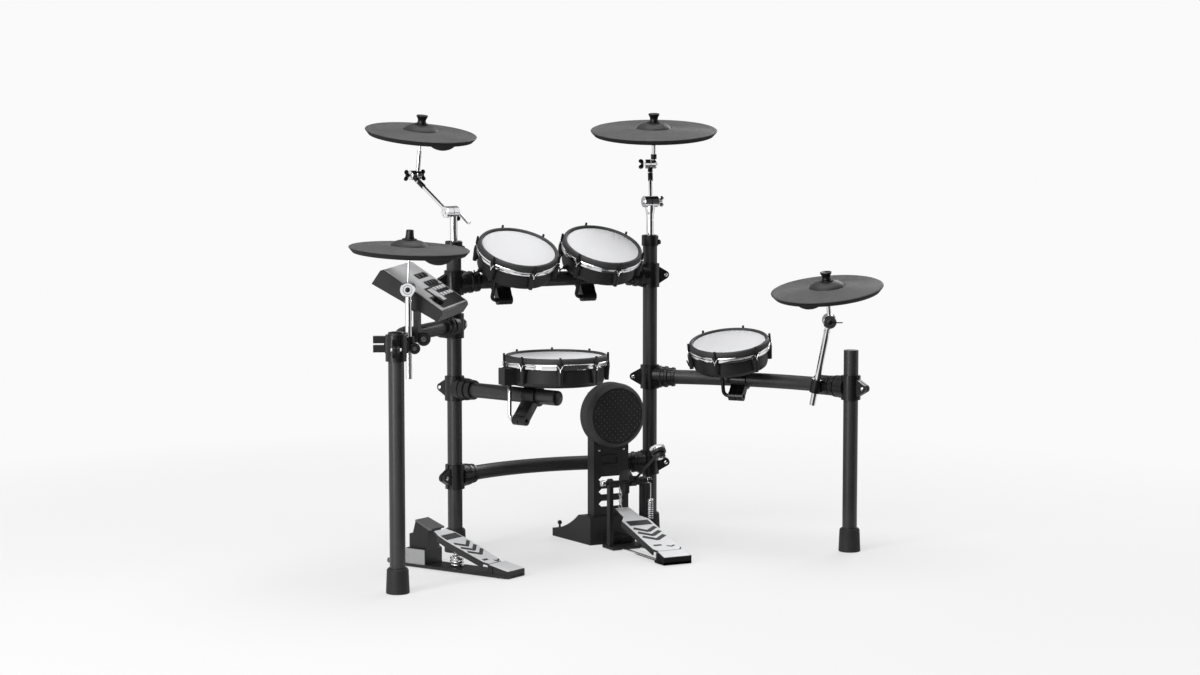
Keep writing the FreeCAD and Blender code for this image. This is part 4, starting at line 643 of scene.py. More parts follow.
class Tree(Wiring):
    """A Geometry Nodes tree under construction, with named sizes."""

    def __init__(self, name: str, sizes: dict[str, float]) -> None:
        """Starts a tree.

        Args:
            name: the tree's name.
            sizes: default of each size; a whole number is a count.
        """
        super().__init__(bpy.data.node_groups.new(name, "GeometryNodeTree"))
        self.interface("Geometry", "Geometry")
        for label, value in sizes.items():
            self.interface(label, "Int" if isinstance(value, int) else "Float", value=value)
        self.interface("Finish", "Material")
        self.interface("Geometry", "Geometry", "OUTPUT")
        self.ends()

    def moved(self, geometry: Socket, **changes: Value) -> Socket:
        """Adds a Transform Geometry node, with Translation, Rotation or Scale, and returns its geometry."""
        return self.made("GeometryNodeTransform", Geometry=geometry, **changes)

    def joined(self, *parts: Socket) -> Socket:
        """Adds a Join Geometry node and returns its geometry."""
        node = self.add("GeometryNodeJoinGeometry")
        for part in parts:
            self.put(node.inputs[0], part)
        return node.outputs[0]

    def smooth(self, geometry: Socket) -> Socket:
        """Shades a geometry smooth."""
        return self.made("GeometryNodeSetShadeSmooth", Geometry=geometry)

    def cylinder(self, sides: int, radius: Value, tall: Value) -> Socket:
        """A cylinder on the middle of its axis."""
        return self.made("GeometryNodeMeshCylinder", Vertices=sides, Radius=radius, Depth=tall)

    def cone(self, sides: int, top: Value, bottom: Value, tall: Value) -> Socket:
        """A cut cone that stands on its lower face."""
        return self.made("GeometryNodeMeshCone", Vertices=sides, Radius_Top=top, Radius_Bottom=bottom,
                         Depth=tall)

    def on_points(self, points: Socket, shape: Socket, **turn: Value) -> Socket:
        """Adds an Instance on Points node, with Rotation if given, and returns its instances."""
        return self.made("GeometryNodeInstanceOnPoints", Points=points, Instance=shape, **turn)

    def row(self, offset: Socket) -> Socket:
        """As many points in a row as the Count says."""
        return self.made("GeometryNodeMeshLine", Count=self.given("Count"), Offset=offset)

    def close(self, geometry: Socket) -> bpy.types.NodeTree:
        """Ends the tree in Realize Instances and Set Material."""
        real = self.made("GeometryNodeRealizeInstances", Geometry=geometry)
        done = self.made("GeometryNodeSetMaterial", Geometry=real, Material=self.given("Finish"))
        self.put(self.sink.inputs[0], done)
        return self.tree

    def close_on_spots(self, shape: Socket) -> bpy.types.NodeTree:
        """Ends the tree in one shape at each given point, along the point's aim."""
        aim = self.made("GeometryNodeInputNamedAttribute", {"data_type": "FLOAT_VECTOR"}, Name="aim")
        turn = self.made("FunctionNodeAlignRotationToVector", {"axis": "Z"}, Vector=aim)
        return self.close(self.on_points(self.given("Geometry"), shape, Rotation=turn))


class Repeats:
    """The node trees of what repeats, and the pieces that they make; shares are of the tree's own sizes."""

    HEAD_SIDES, DRIVE_SIDES, SHANK_SIDES, HUB_SIDES = 14, 6, 10, 16
    CROWN_TOP, DRIVE_RADIUS, DRIVE_LEVEL = 0.62, 0.4, 1.35
    HUB_TOP = 0.75
    LOBE_SIZE: Point = (0.55, 0.42, 0.62)
    LOBE_OUT, LOBE_UP, LOBE_LEAN = 0.72, 0.6, 0.5
    DOT_FLAT: Point = (1.0, 1.0, 0.4)
    DOT_TURN: Point = (0.0, 0.0, 0.785)
    CHEVRON_OUT, CHEVRON_UP = 0.47, 0.5
    LINK_LONG = 0.78

    @classmethod
    @cache
    def bolts(cls) -> bpy.types.NodeTree:
        """Round-headed bolts at the points, along their aim."""
        tree = Tree("Bolts", bolt_sizes(5.0, 3.0, 3.0, 10.0))
        radius, height = tree.given("Head Radius"), tree.given("Head Height")
        long = tree.given("Shank Length")
        half = tree.times(height, 0.5)
        wall = tree.cylinder(cls.HEAD_SIDES, radius, height)
        crown = tree.cone(cls.HEAD_SIDES, tree.times(radius, cls.CROWN_TOP), radius, half)
        drive = tree.cylinder(cls.DRIVE_SIDES, tree.times(radius, cls.DRIVE_RADIUS), half)
        shank = tree.cylinder(cls.SHANK_SIDES, tree.given("Shank Radius"), long)
        levels = (half, height, tree.times(height, cls.DRIVE_LEVEL), tree.times(long, -0.5))
        parts = [tree.moved(part, Translation=tree.xyz(0, 0, level))
                 for part, level in zip((wall, crown, drive, shank), levels)]
        return tree.close_on_spots(tree.joined(*parts))

    @classmethod
    @cache
    def wing_nuts(cls) -> bpy.types.NodeTree:
        """Two-lobed nuts at the points, along their aim."""
        tree = Tree("Wing Nuts", WING_NUT)
        radius, reach, rise = tree.given("Hub Radius"), tree.given("Lobe Reach"), tree.given("Lobe Rise")
        hub = tree.cone(cls.HUB_SIDES, tree.times(radius, cls.HUB_TOP), radius, tree.given("Hub Length"))
        ball = tree.made("GeometryNodeMeshUVSphere", Segments=14, Rings=8, Radius=1.0)
        size = tree.xyz(*[tree.times(part, share)
                          for part, share in zip((reach, radius, rise), cls.LOBE_SIZE)])
        lobes = []
        for side in SIDES:
            spot = tree.xyz(tree.times(reach, side * cls.LOBE_OUT), 0.0, tree.times(rise, cls.LOBE_UP))
            lean = (0.0, side * cls.LOBE_LEAN, 0.0)
            lobes.append(tree.moved(ball, Translation=spot, Rotation=lean, Scale=size))
        return tree.close_on_spots(tree.smooth(tree.joined(hub, *lobes)))

    @staticmethod
    @cache
    def ribs() -> bpy.types.NodeTree:
        """Upright ribs round a circle."""
        tree = Tree("Ribs", {"Count": 24, "Radius": 0.01, "Width": 0.001, "Deep": 0.001, "Tall": 0.01})
        count = tree.given("Count")
        size = tree.xyz(tree.given("Deep"), tree.given("Width"), tree.given("Tall"))
        ring = tree.made("GeometryNodeMeshCircle", Vertices=count, Radius=tree.given("Radius"))
        turn = tree.math("DIVIDE", tree.times(tree.made("GeometryNodeInputIndex"), 2 * math.pi), count)
        rib = tree.made("GeometryNodeMeshCube", Size=size)
        return tree.close(tree.on_points(ring, rib, Rotation=tree.xyz(0.0, 0.0, turn)))

    @classmethod
    @cache
    def dots(cls) -> bpy.types.NodeTree:
        """Low domes in slanting rows inside a circle."""
        tree = Tree("Dots", {"Radius": 0.06, "Rows": 13, "Dot": 0.001})
        radius, rows = tree.given("Radius"), tree.given("Rows")
        span = tree.times(radius, 2.0)
        grid = tree.made("GeometryNodeMeshGrid", Size_X=span, Size_Y=span, Vertices_X=rows, Vertices_Y=rows)
        length = tree.vector("LENGTH", tree.made("GeometryNodeInputPosition")).outputs["Value"]
        far = tree.filled("FunctionNodeCompare", "GREATER_THAN", length, radius).outputs[0]
        inside = tree.made("GeometryNodeDeleteGeometry", Geometry=grid, Selection=far)
        ball = tree.made("GeometryNodeMeshUVSphere", Segments=8, Rings=5, Radius=tree.given("Dot"))
        low = tree.moved(ball, Scale=cls.DOT_FLAT)
        return tree.close(tree.on_points(tree.moved(inside, Rotation=cls.DOT_TURN), low))

    @classmethod
    @cache
    def chevrons(cls) -> bpy.types.NodeTree:
        """V-shaped ribs in a row along Y."""
        tree = Tree("Chevrons",
                    {"Count": 4, "Pitch": 0.02, "Arm": 0.03, "Width": 0.005, "Tall": 0.001, "Lean": 0.6})
        arm, lean = tree.given("Arm"), tree.given("Lean")
        bar = tree.made("GeometryNodeMeshCube", Size=tree.xyz(arm, tree.given("Width"), tree.given("Tall")))
        reach, rise = [tree.times(tree.math(wave, lean), arm) for wave in ("COSINE", "SINE")]
        parts = []
        for side in SIDES:
            spot = tree.xyz(tree.times(reach, side * cls.CHEVRON_OUT), tree.times(rise, cls.CHEVRON_UP), 0.0)
            parts.append(tree.moved(bar, Translation=spot,
                                    Rotation=tree.xyz(0.0, 0.0, tree.times(lean, side))))
        return tree.close(tree.on_points(tree.row(tree.xyz(0.0, tree.given("Pitch"), 0.0)),
                                         tree.joined(*parts)))

    @staticmethod
    @cache
    def coil() -> bpy.types.NodeTree:
        """A round-wire coil spring on Z."""
        tree = Tree("Coil", {"Turns": 6.0, "Radius": 0.01, "Height": 0.05, "Wire": 0.001})
        radius = tree.given("Radius")
        way = tree.made("GeometryNodeCurveSpiral", Resolution=28, Rotations=tree.given("Turns"),
                        Start_Radius=radius, End_Radius=radius, Height=tree.given("Height"))
        ring = tree.made("GeometryNodeCurvePrimitiveCircle", Resolution=10, Radius=tree.given("Wire"))
        wire = tree.made("GeometryNodeCurveToMesh", Curve=way, Profile_Curve=ring, Fill_Caps=True)
        return tree.close(tree.smooth(wire))

    @classmethod
    @cache
    def links(cls) -> bpy.types.NodeTree:
        """Chain links in a row along Z, each turned a quarter from the last."""
        tree = Tree("Links", {"Count": 8, "Pitch": 0.01, "Width": 0.004, "Wire": 0.001})
        pitch = tree.given("Pitch")
        ring = tree.made("GeometryNodeCurvePrimitiveCircle", Resolution=16, Radius=1.0)
        upright = tree.moved(ring, Rotation=(QUARTER, 0.0, 0.0))
        oval = tree.moved(upright, Scale=tree.xyz(tree.given("Width"), 1.0, tree.times(pitch, cls.LINK_LONG)))
        thin = tree.made("GeometryNodeCurvePrimitiveCircle", Resolution=8, Radius=tree.given("Wire"))
        link = tree.smooth(tree.made("GeometryNodeCurveToMesh", Curve=oval, Profile_Curve=thin))
        turn = tree.times(tree.math("MODULO", tree.made("GeometryNodeInputIndex"), 2.0), QUARTER)
        row = tree.row(tree.xyz(0.0, 0.0, pitch))
        return tree.close(tree.on_points(row, link, Rotation=tree.xyz(0.0, 0.0, turn)))

    @staticmethod
    def make(name: str, tree: bpy.types.NodeTree, finish: Finish, body: str, slot: str,
             sizes: dict[str, float], where: Matrix = Matrix(), spots: Sequence[tuple[Vector, Vector]] = (),
             nodes: Sequence[str] = ()) -> bpy.types.Object:
        """Runs a tree and turns its result into a plain piece.

        Args:
            name: the piece's name.
            tree: the node tree.
            finish: the finish of all that it makes.
            body: the CAD body that the piece rides on.
            slot: the record's material slot; not used.
            sizes: values of the tree's inputs.
            where: placement of the result.
            spots: points and aims for a tree that needs them.
            nodes: CAD nodes that the piece stands for.

        Returns:
            The piece.
        """
        points = bpy.data.meshes.new(name + "_points")
        points.from_pydata([tuple(spot) for spot, _ in spots], [], [])
        if spots:
            aims = points.attributes.new("aim", "FLOAT_VECTOR", "POINT")
            for item, (_, aim) in zip(aims.data, spots):
                item.vector = aim
        carrier = shown(name + "_carrier", points)
        modifier = carrier.modifiers.new("repeat", "NODES")
        modifier.node_group = tree
        identifiers = {item.name: item.identifier for item in tree.interface.items_tree
                       if item.in_out == "INPUT"}
        for label, value in {**sizes, "Finish": finish.material()}.items():
            modifier[identifiers[label]] = value
        bpy.context.view_layer.update()
        graph = bpy.context.evaluated_depsgraph_get()
        mesh = bpy.data.meshes.new_from_object(carrier.evaluated_get(graph))
        mesh.name = name
        bpy.data.objects.remove(carrier)
        mesh.transform(where)
        mesh.set_sharp_from_angle(angle=math.radians(SHARP))
        return add_piece(name, mesh, body, nodes)


def bolt_sizes(head: float, tall: float, shank: float, long: float) -> dict[str, float]:
    """A bolt's sizes: radius and height of its head, radius and length of its shank, in millimetres."""
    return {"Head Radius": head * MM, "Head Height": tall * MM, "Shank Radius": shank * MM,
            "Shank Length": long * MM}


def set_finish(finish: Finish, *nodes: str) -> None:
    """Gives CAD nodes that stay a finish."""
    for node in nodes:
        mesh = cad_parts[node].data
        mesh.materials.clear()
        mesh.materials.append(finish.material())


@dataclass(frozen=True)
class ClampSpot:
    """Where a rack clamp stands: its post axis at the bar's level, the bar's direction, and its body."""

    origin: Point
    along: Point
    body: str


@dataclass
class Rack:
    """The tube rack: finishes of its tubes, clamps and feet, and the small hardware of the clamps."""

    ear_reach: float = 45.0
    ear_thick: float = 19.0
    clamp_bolt: tuple[float, ...] = (5.2, 3.0, 2.8, 7.0)
    collar_bolt: tuple[float, ...] = (7.0, 4.5, 3.0, 4.0)
    collar_radius: float = 23.5
    collar_drop: float = 15.0
    cap_radius: float = 19.6
    post_tops: tuple[Point, Point] = ((*LEFT_POST, POST_TOP), (*RIGHT_POST, POST_TOP))
    left_cap: Point = (*LEFT_OUTER, 0.656)
    snare_end: Point = (-0.14601, -0.15764, 0.449)
    knobs: tuple[tuple[Point, float], ...] = (((-0.5852, -0.2355, 0.6085), 14.0),
                                              ((-0.4870, -0.0665, 0.6135), 18.0))
    knob_pin: Bar = Bar((-515, -45, 614), (-489, -58, 613.5), 11.0, 0, 24)
    clamps: tuple[ClampSpot, ...] = (
        ClampSpot((*LEFT_POST, 0.736), (1, 0, 0), "rack"),
        ClampSpot((*RIGHT_POST, 0.736), (-1, 0, 0), "rack"),
        ClampSpot((*LEFT_POST, 0.207), (0.90631, 0.42262, 0), "rack"),
        ClampSpot((*RIGHT_POST, 0.207), (-0.90631, 0.42262, 0), "rack"),
        ClampSpot((*LEFT_OUTER, 0.619), (0.39073, 0.9205, 0), "left_wing"),
        ClampSpot((*LEFT_POST, 0.619), (-0.79864, -0.60182, 0), "left_wing"),
        ClampSpot((*RIGHT_POST, 0.45), (0.77934, -0.6266, 0), "right_wing"),
        ClampSpot((0.66853, -0.3097, 0.45), (-0.36162, 0.93232, 0), "right_wing"),
        ClampSpot((*LEFT_POST, 0.449), SNARE_WAY, "snare_arm"),
    )

    def build(self) -> None:
        """Dresses the rack's CAD nodes and adds the small hardware."""
        self.dress()
        self.build_clamp_bolts()
        self.build_collar_bolts()
        self.build_knobs()
        self.build_caps()

    def dress(self) -> None:
        """Gives the CAD nodes of the rack their finishes."""
        set_finish(Finishes.TUBE, "inner_posts", "tom_bar", "lower_bar", "left_wing_bar", "left_outer_post",
                   "right_wing_bar", "right_outer_post", "snare_bar")
        set_finish(Finishes.CLAMP, "rack_clamps", "left_wing_clamps", "right_wing_clamps", "snare_arm_clamp")
        set_finish(Finishes.FOOT, "rack_feet", "left_foot", "right_foot")

    def build_clamp_bolts(self) -> None:
        """The bolts of the clamps, one piece for each body."""
        for body in ("rack", "left_wing", "right_wing", "snare_arm"):
            spots = []
            for clamp in self.clamps:
                place = local_frame(clamp.origin, clamp.along)
                for side in SIDES if clamp.body == body else ():
                    point = place @ (Vector((-self.ear_reach, side * self.ear_thick / 2, 0)) * MM)
                    spots.append((point, place.to_3x3() @ Vector((0, side, 0))))
            Repeats.make(f"{body}_bolts", Repeats.bolts(), Finishes.STEEL, body, "clamp",
                         bolt_sizes(*self.clamp_bolt), spots=spots)

    def build_collar_bolts(self) -> None:
        """The round black bolt heads at the side of the collars on the post tops."""
        aside = Vector(ASIDE)
        drop = Vector((0, 0, -self.collar_drop * MM))
        spots = [(Vector(top) + drop + aside * self.collar_radius * MM, aside) for top in self.post_tops]
        Repeats.make("collar_bolts", Repeats.bolts(), Finishes.BLACK, "rack", "clamp",
                     bolt_sizes(*self.collar_bolt), spots=spots)

    def build_knobs(self) -> None:
        """The round knobs of the hi-hat holder and of the module bracket, which face the drummer's side."""
        shape = Shape()
        shape.add(self.knob_pin)
        for foot, r in self.knobs:
            place = aimed(Vector(foot) * TO_MM, Vector(DRUMMER))
            shape.turned([(0, 0), (r - 2, 0), (r, 2), (r, 11), (r - 2.5, 13.5), (r * 0.62, 13.5),
                          (r * 0.55, 11.5), (0, 11.5)], 0, 40, place)
            shape.turned([(0, 11.5), (r * 0.42, 11.5), (r * 0.36, 13.2), (0, 14.0)], 1, 28, place)
        shape.piece("holder_knobs", [Finishes.CLAMP, Finishes.FRONT], "left_wing", "clamp", angle=SHARP_BOX)

    def build_caps(self) -> None:
        """The domed cap of the left outer post and the end cap of the snare bar."""
        r = self.cap_radius
        shape = Shape(Matrix.Translation(self.left_cap))
        shape.turned([(0, 0.3), (r, 0.3), (r + 0.2, 1.2), (r * 0.94, 2.6), (r * 0.6, 3.8), (0, 4.2)])
        shape.piece("left_post_cap", [Finishes.CAP], "left_wing", "clamp", angle=SHARP_ROUND)
        shape = Shape()
        place = aimed(Vector(self.snare_end) * TO_MM, Vector(SNARE_WAY))
        shape.turned([(0, 0.3), (r, 0.3), (r, 2.6), (r * 0.86, 4.4), (0, 5.0)], place=place)
        shape.piece("snare_bar_cap", [Finishes.CLAMP], "snare_arm", "clamp", angle=SHARP_ROUND)


@dataclass
class MeshPad:
    """A mesh pad: its sheet, rim, hoop, claws and clamp; hoop and rim start from the shell's radius."""

    name: str
    origin: Point
    along: Point
    up: Point
    mesh: float = 200
    lugs: int = 6
    first: float = 30
    depth: float = 72.0
    rod: Finish = Finishes.BLACK
    wall: float = 3.0
    collar: float = 3.6
    turn_down: float = 9.5
    steps: int = 96
    sheet_edge: Profile = ((-2.0, -0.1), (0, -1.0), (0.2, -10.0))
    hoop: Profile = ((4.2, -24), (7.0, -24), (8.4, -22.6), (8.6, -19.4), (8.2, -17.2), (6.6, -16),
                     (6.6, -14.4), (9.6, -14.0), (10.4, -12.6), (10.2, -10.8), (8.8, -9.4), (4.2, -9.4))
    rim_from_mesh: Profile = ((0, 0.2), (0.4, 2.4), (1.8, 4.8), (4.0, 5.7))
    rim: Profile = ((3.2, 5.8), (6.0, 4.8), (7.8, 2.0), (8.6, -2.5), (8.8, -6.6), (8.2, -8.6), (4.4, -8.6))
    claw_out: float = 10.8
    claw_pin: Profile = ((0, -30), (2.2, -30), (2.2, -9), (0, -9))
    claw_post: Profile = ((0, -9), (3.2, -9), (3.2, 8.6), (2.4, 9.8), (0, 9.8))
    claw_plate: Profile = ((-4.6, -11), (2.6, -6), (2.6, 6), (-4.6, 11))
    claw_levels: Pair = (-24.6, -8.8)
    claw_bars: tuple[tuple[Point, Point, float], ...] = (
        ((3.4, -0.6, -23), (2.2, -6.5, -12.5), 1.5), ((3.4, 0.6, -23), (2.2, 6.5, -12.5), 1.5),
        ((3.2, 0, -29), (3.2, 0, -21), 1.8))
    lug_out: float = 2.5
    lug: Profile = ((0, -26), (10.5, -26), (10.0, -32), (7.0, -46), (4.0, -58), (0, -60))

    @property
    def shell(self) -> float:
        """Radius of the shell."""
        return self.mesh / 2 + self.wall

    @property
    def where(self) -> Matrix:
        """The pad's frame, on the middle of the mesh."""
        return local_frame(self.origin, self.along, self.up)

    def build(self) -> None:
        """Builds all pieces of the pad."""
        set_finish(Finishes.SHELL, self.name + "_shell")
        self.build_sheet()
        self.build_hoop()
        self.build_claws()
        self.build_mount()

    def build_sheet(self) -> None:
        """The woven head, drawn over the shell's edge."""
        shape = Shape(self.where)
        edge = self.shell + self.collar
        profile = [(0.0, -0.5), (edge * 0.5, -0.35)] + grown(self.sheet_edge, edge)
        shape.turned(profile, 0, self.steps, closed=False)
        piece = shape.piece(self.name + "_sheet", [Finishes.MESH], self.name, "mesh", [self.name + "_head"],
                            angle=60)

    def build_hoop(self) -> None:
        """The steel hoop below, and the deep rubber rim over it."""
        hoop, rim = Shape(self.where), Shape(self.where)
        hoop.turned(grown(self.hoop, self.shell), 0, self.steps)
        hoop.piece(self.name + "_hoop_band", [Finishes.CHROME], self.name, "hoop", [self.name + "_hoop"])
        rim.turned(grown(self.rim_from_mesh, self.mesh / 2) + grown(self.rim, self.shell), 0, self.steps)
        rim.piece(self.name + "_rim", [Finishes.RIM], self.name, "hoop", angle=SHARP_ROUND)

    def build_claws(self) -> None:
        """The claws and rods that draw the hoop down, one at each lug."""
        shape = Shape(self.where)
        for index in range(self.lugs):
            turn = rotated(self.first + index * 360 / self.lugs, "Z")
            out = turn @ shifted(self.shell + self.claw_out)
            shape.turned(self.claw_pin, 0, 12, out)
            shape.turned(self.claw_post, 1, 14, out)
            shape.turned(self.lug, 1, 20, turn @ shifted(self.shell + self.lug_out))
            shape.flat(self.claw_plate, *self.claw_levels, 1, out)
            for start, end, radius in self.claw_bars:
                shape.rod(out @ Vector(start), out @ Vector(end), radius, 0, 10)
        shape.piece(self.name + "_claws", [Finishes.CHROME, Finishes.BLACK], self.name, "hoop")

    def build_mount(self) -> None:
        """Finishes of the clamp and of the bent rod, which are two solids of one node, and the wing bolt."""
        islands_finish(self.name + "_mount", self.name, (Finishes.CLAMP, self.rod))
        shape = Shape(self.where)
        foot = Vector((-self.shell + 2, -8, 16 - self.depth))
        tip = Vector((-self.shell - 20, -12, 8 - self.depth))
        shape.rod(foot, tip, 2.2, 0, 12)
        shape.rod(foot, foot.lerp(tip, 0.5), 5.5, 0, 16, 1.0)
        way = (tip - foot).cross(Vector((0, 1, 0))).normalized() * 9
        shape.rod(tip - way, tip + way, 2.0, 0, 10, 0.6)
        shape.piece(self.name + "_wing_bolt", [Finishes.BLACK], self.name, "pad_mount")


def merged_copy(node: str) -> bmesh.types.BMesh:
    """A copy of a CAD node's mesh with its corners merged."""
    work = bmesh.new()
    work.from_mesh(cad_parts[node].data)
    bmesh.ops.remove_doubles(work, verts=work.verts, dist=MERGE)
    return work


def dressed_copy(node: str, work: bmesh.types.BMesh, body: str,
                 finishes: Sequence[Finish]) -> None:
    """Stands a finished copy in for its CAD node.

    Args:
        node: the CAD node.
        work: the merged copy, with the finish of each face set.
        body: the node's body.
        finishes: finishes in the order of their indices.
    """
    mesh = closed_mesh(node + "_dressed", work, finishes)
    mesh.set_sharp_from_angle(angle=math.radians(SHARP_COPY))
    add_piece(node + "_dressed", mesh, body, [node])


def islands_finish(node: str, body: str, finishes: Sequence[Finish]) -> None:
    """Stands a copy in for a CAD node of two solids, with the slimmer one in the second finish.

    Args:
        node: the CAD node.
        body: its body.
        finishes: finish of the larger and of the smaller solid.
    """
    work = merged_copy(node)
    left = set(work.faces)
    groups = []
    while left:
        stack = [left.pop()]
        group = []
        while stack:
            face = stack.pop()
            group.append(face)
            near = {other for edge in face.edges for other in edge.link_faces} & left
            left -= near
            stack += near
        groups.append(group)
    groups.sort(key=lambda faces: -sum(face.calc_area() for face in faces))
    for index, group in enumerate(groups):
        for face in group:
            face.material_index = min(index, len(finishes) - 1)
    dressed_copy(node, work, body, finishes)


def facing_finish(node: str, body: str, finishes: Sequence[Finish], way: Vector,
                  least: float = 0.7) -> None:
    """Stands a copy in for a CAD node, with the faces that look one way in the second finish.

    Args:
        node: the CAD node.
        body: its body.
        finishes: finish of the whole, and of the faces that look that way.
        way: the direction.
        least: cosine from which a face looks that way.
    """
    work = merged_copy(node)
    for face in work.faces:
        face.material_index = int(face.normal.dot(way) > least)
    dressed_copy(node, work, body, finishes)


class Topper(Enum):
    """The side of a cymbal's topper, from the top of the bell."""

    STRAIGHT = ((0, 1.8), (11.5, 1.8), (11.8, 4), (10.4, 9), (9.4, 23), (8.8, 24))
    FLARED = ((0, 1.8), (12.0, 1.8), (12.4, 4.5), (11.2, 7.5), (11.0, 11), (12.6, 16), (15.6, 21), (15.9, 23),
              (15.2, 24))


@dataclass
class CymbalPad:
    """A cymbal pad with its upper rod, seat and topper."""

    name: str
    origin: Point
    along: Point
    up: Point
    axis: Point
    reach: float
    bulge: float
    disc: float = 305
    tilter: float = 13.0
    half: float = 7.8
    rod: float = 4.0
    lever: float = 0.0
    sleeve: float = 0.0
    collar: bool = False
    wing: bool = False
    topper: Topper = Topper.FLARED
    bell: float = 50.0
    rise: float = 25.0
    step: float = 15.6
    hole: float = 7.2
    steps: int = 96
    groove_pitch: float = 3.6
    groove_deep: float = 0.45
    groove_room: Pair = (5.0, 9.0)
    bulge_out: float = 0.55
    bulge_sunk: float = 1.5
    bulge_size: Pair = (0.28, 0.27)
    bulge_deep: float = 31.0
    bulge_steps: int = 12
    dome: Profile = ((0.38, 0.9), (0.66, 4.5), (0.86, 10.4), (0.94, 14.6), (0.97, 17.4), (1.0, 17.6))
    edge_top: Profile = ((-6, 4.1), (-3, 3.7), (-0.6, 2.4), (0, 1.2))
    edge_under: Profile = ((-0.5, -0.4), (-10, -11.3), (-12, -11.8))
    collar_side: Profile = ((4.1, 0), (7.4, 0), (8.2, 1), (8.2, 13), (7.4, 14), (4.1, 14))
    seat: Profile = ((4.2, -15), (8.5, -15), (9.5, -14), (9.5, -11), (8.0, -10), (4.2, -10))
    felt: Profile = ((4.2, -10), (12.5, -9.5), (13.0, -8), (12.8, -3.2), (4.2, -3.2))
    washer: Profile = ((4.2, -0.2), (18.4, -0.6), (19.0, 0.5), (18.4, 1.6), (4.2, 1.8))
    topper_end: Profile = ((5.0, 24.2), (4.0, 23.4), (0, 23.4))

    @property
    def where(self) -> Matrix:
        """The cymbal's frame, in the middle of its edge's plane."""
        return local_frame(self.origin, self.along, self.up)

    def inward(self, way: Point) -> Vector:
        """A direction of the row frame, in the cymbal's frame."""
        return self.where.to_3x3().transposed() @ Vector(way)

    def build(self) -> None:
        """Builds the disc, the bulge under it and the stem."""
        self.build_disc()
        self.build_stem()

    def build_disc(self) -> None:
        """The playing surface with its grooves, the bell, the bevelled edge and the trigger housing."""
        edge, bell, rise, foot = self.disc / 2, self.bell, self.rise, self.rise - self.step
        shape = Shape(self.where)
        top = [(self.hole, rise - 2.5), (8.5, rise - 0.3)]
        top += [(bell * share, rise - drop) for share, drop in self.dome]
        plain = [(bell + 1.8, rise - 15.7)]
        slope = (foot - 4.2) / (edge - 6 - bell)
        radius = bell + self.groove_room[0]
        while radius < edge - self.groove_room[1]:
            level = foot - slope * (radius - bell)
            plain += [(radius, level), (radius + 1.0, level - self.groove_deep), (radius + 2.0, level)]
            radius += self.groove_pitch
        rim = grown(self.edge_top, edge)
        under = grown(self.edge_under, edge) + [(edge * 0.62, -8.6), (bell * 0.5, -4.0), (self.hole, -1.0)]
        bands = (top, [top[-1]] + plain + rim, [rim[-1]] + under + [top[0]])
        for finish, band in zip((1, 0, 2), bands):
            shape.turned(band, finish, self.steps, closed=False)
        bmesh.ops.remove_doubles(shape.work, verts=shape.work.verts, dist=MERGE_RINGS)
        self.add_bulge(shape, edge)
        shape.piece(self.name + "_pad", [Finishes.CYMBAL, Finishes.BELL, Finishes.UNDER],
                    self.name + "_cymbal", "cymbal", [self.name + "_cymbal"])

    def add_bulge(self, shape: Shape, edge: float) -> None:
        """The smooth trigger housing under one side."""
        ahead = Vector(self.along)
        angle = math.radians(self.bulge) - math.atan2(ahead.y, ahead.x)
        place = Matrix.Rotation(angle, 4, "Z") @ shifted(edge * self.bulge_out, 0, -self.bulge_sunk)
        turns = [math.pi / 2 * step / self.bulge_steps for step in range(self.bulge_steps)]
        profile = [(0.0, 0.02)] + [(math.cos(turn), -math.sin(turn)) for turn in turns] + [(0.0, -1.0)]
        size = Matrix.Diagonal((*[edge * share for share in self.bulge_size], self.bulge_deep, 1.0))
        shape.turned(profile, 2, 40, place @ size)

    def build_stem(self) -> None:
        """The upper rod with its half drum, felt seat and topper."""
        low, rise = -self.reach, self.rise
        shape = Shape(self.where)
        shape.turned([(0, low), (self.rod, low), (self.rod, rise + 17), (0, rise + 17)], 0, 20)
        if self.sleeve:
            top, r = low + self.reach * 0.58, self.sleeve
            shape.turned([(4.1, low), (r, low), (r, top - 1), (r - 1, top), (4.1, top)], 0, 28)
        if self.collar:
            shape.turned(grown(self.collar_side, 0, low + self.tilter + 1.0), 1, 28)
        shape.turned(self.seat, 0, 24)
        shape.turned(self.felt, 1, 32)
        shape.turned(grown(self.washer, 0, rise), 1)
        shape.turned(grown(self.topper.value + self.topper_end, 0, rise), 1)
        self.add_drum(shape)
        shape.piece(self.name + "_rod", [Finishes.CHROME, Finishes.BLACK], self.name + "_stem", "chrome_rod",
                    [self.name + "_stem"])

    def add_drum(self, shape: Shape) -> None:
        """The half tilter drum at the foot of the rod, with its bolt, its lever or its black wing nut."""
        axis = self.inward(self.axis)
        base = Vector((0, 0, -self.reach))
        place = aimed(base, axis)
        r, half = self.tilter, self.half
        shape.turned([(0, 0.2 - half), (r - 1, 0.2 - half), (r, 1.2 - half), (r, half - 2), (r - 1.8, half),
                      (r * 0.62, half), (r * 0.56, half - 1.6), (0, half - 1.6)], 0, 40, place)
        shape.turned([(0, half - 1.6), (r * 0.34, half - 1.6), (r * 0.34, half + 1.4), (r * 0.28, half + 2.2),
                      (0, half + 2.4)], 1, 24, place)
        if self.lever:
            start = base + axis * (half + 1.0)
            shape.rod(start, start + self.inward(ASIDE) * self.lever, 1.6, 1, 12, 0.5)
        if self.wing:
            spot = self.where @ ((base + axis * (half + 3.0)) * MM)
            Repeats.make(self.name + "_wing", Repeats.wing_nuts(), Finishes.BLACK, self.name + "_stem",
                         "chrome_rod", WING_NUT, spots=[(spot, Vector(self.axis))])


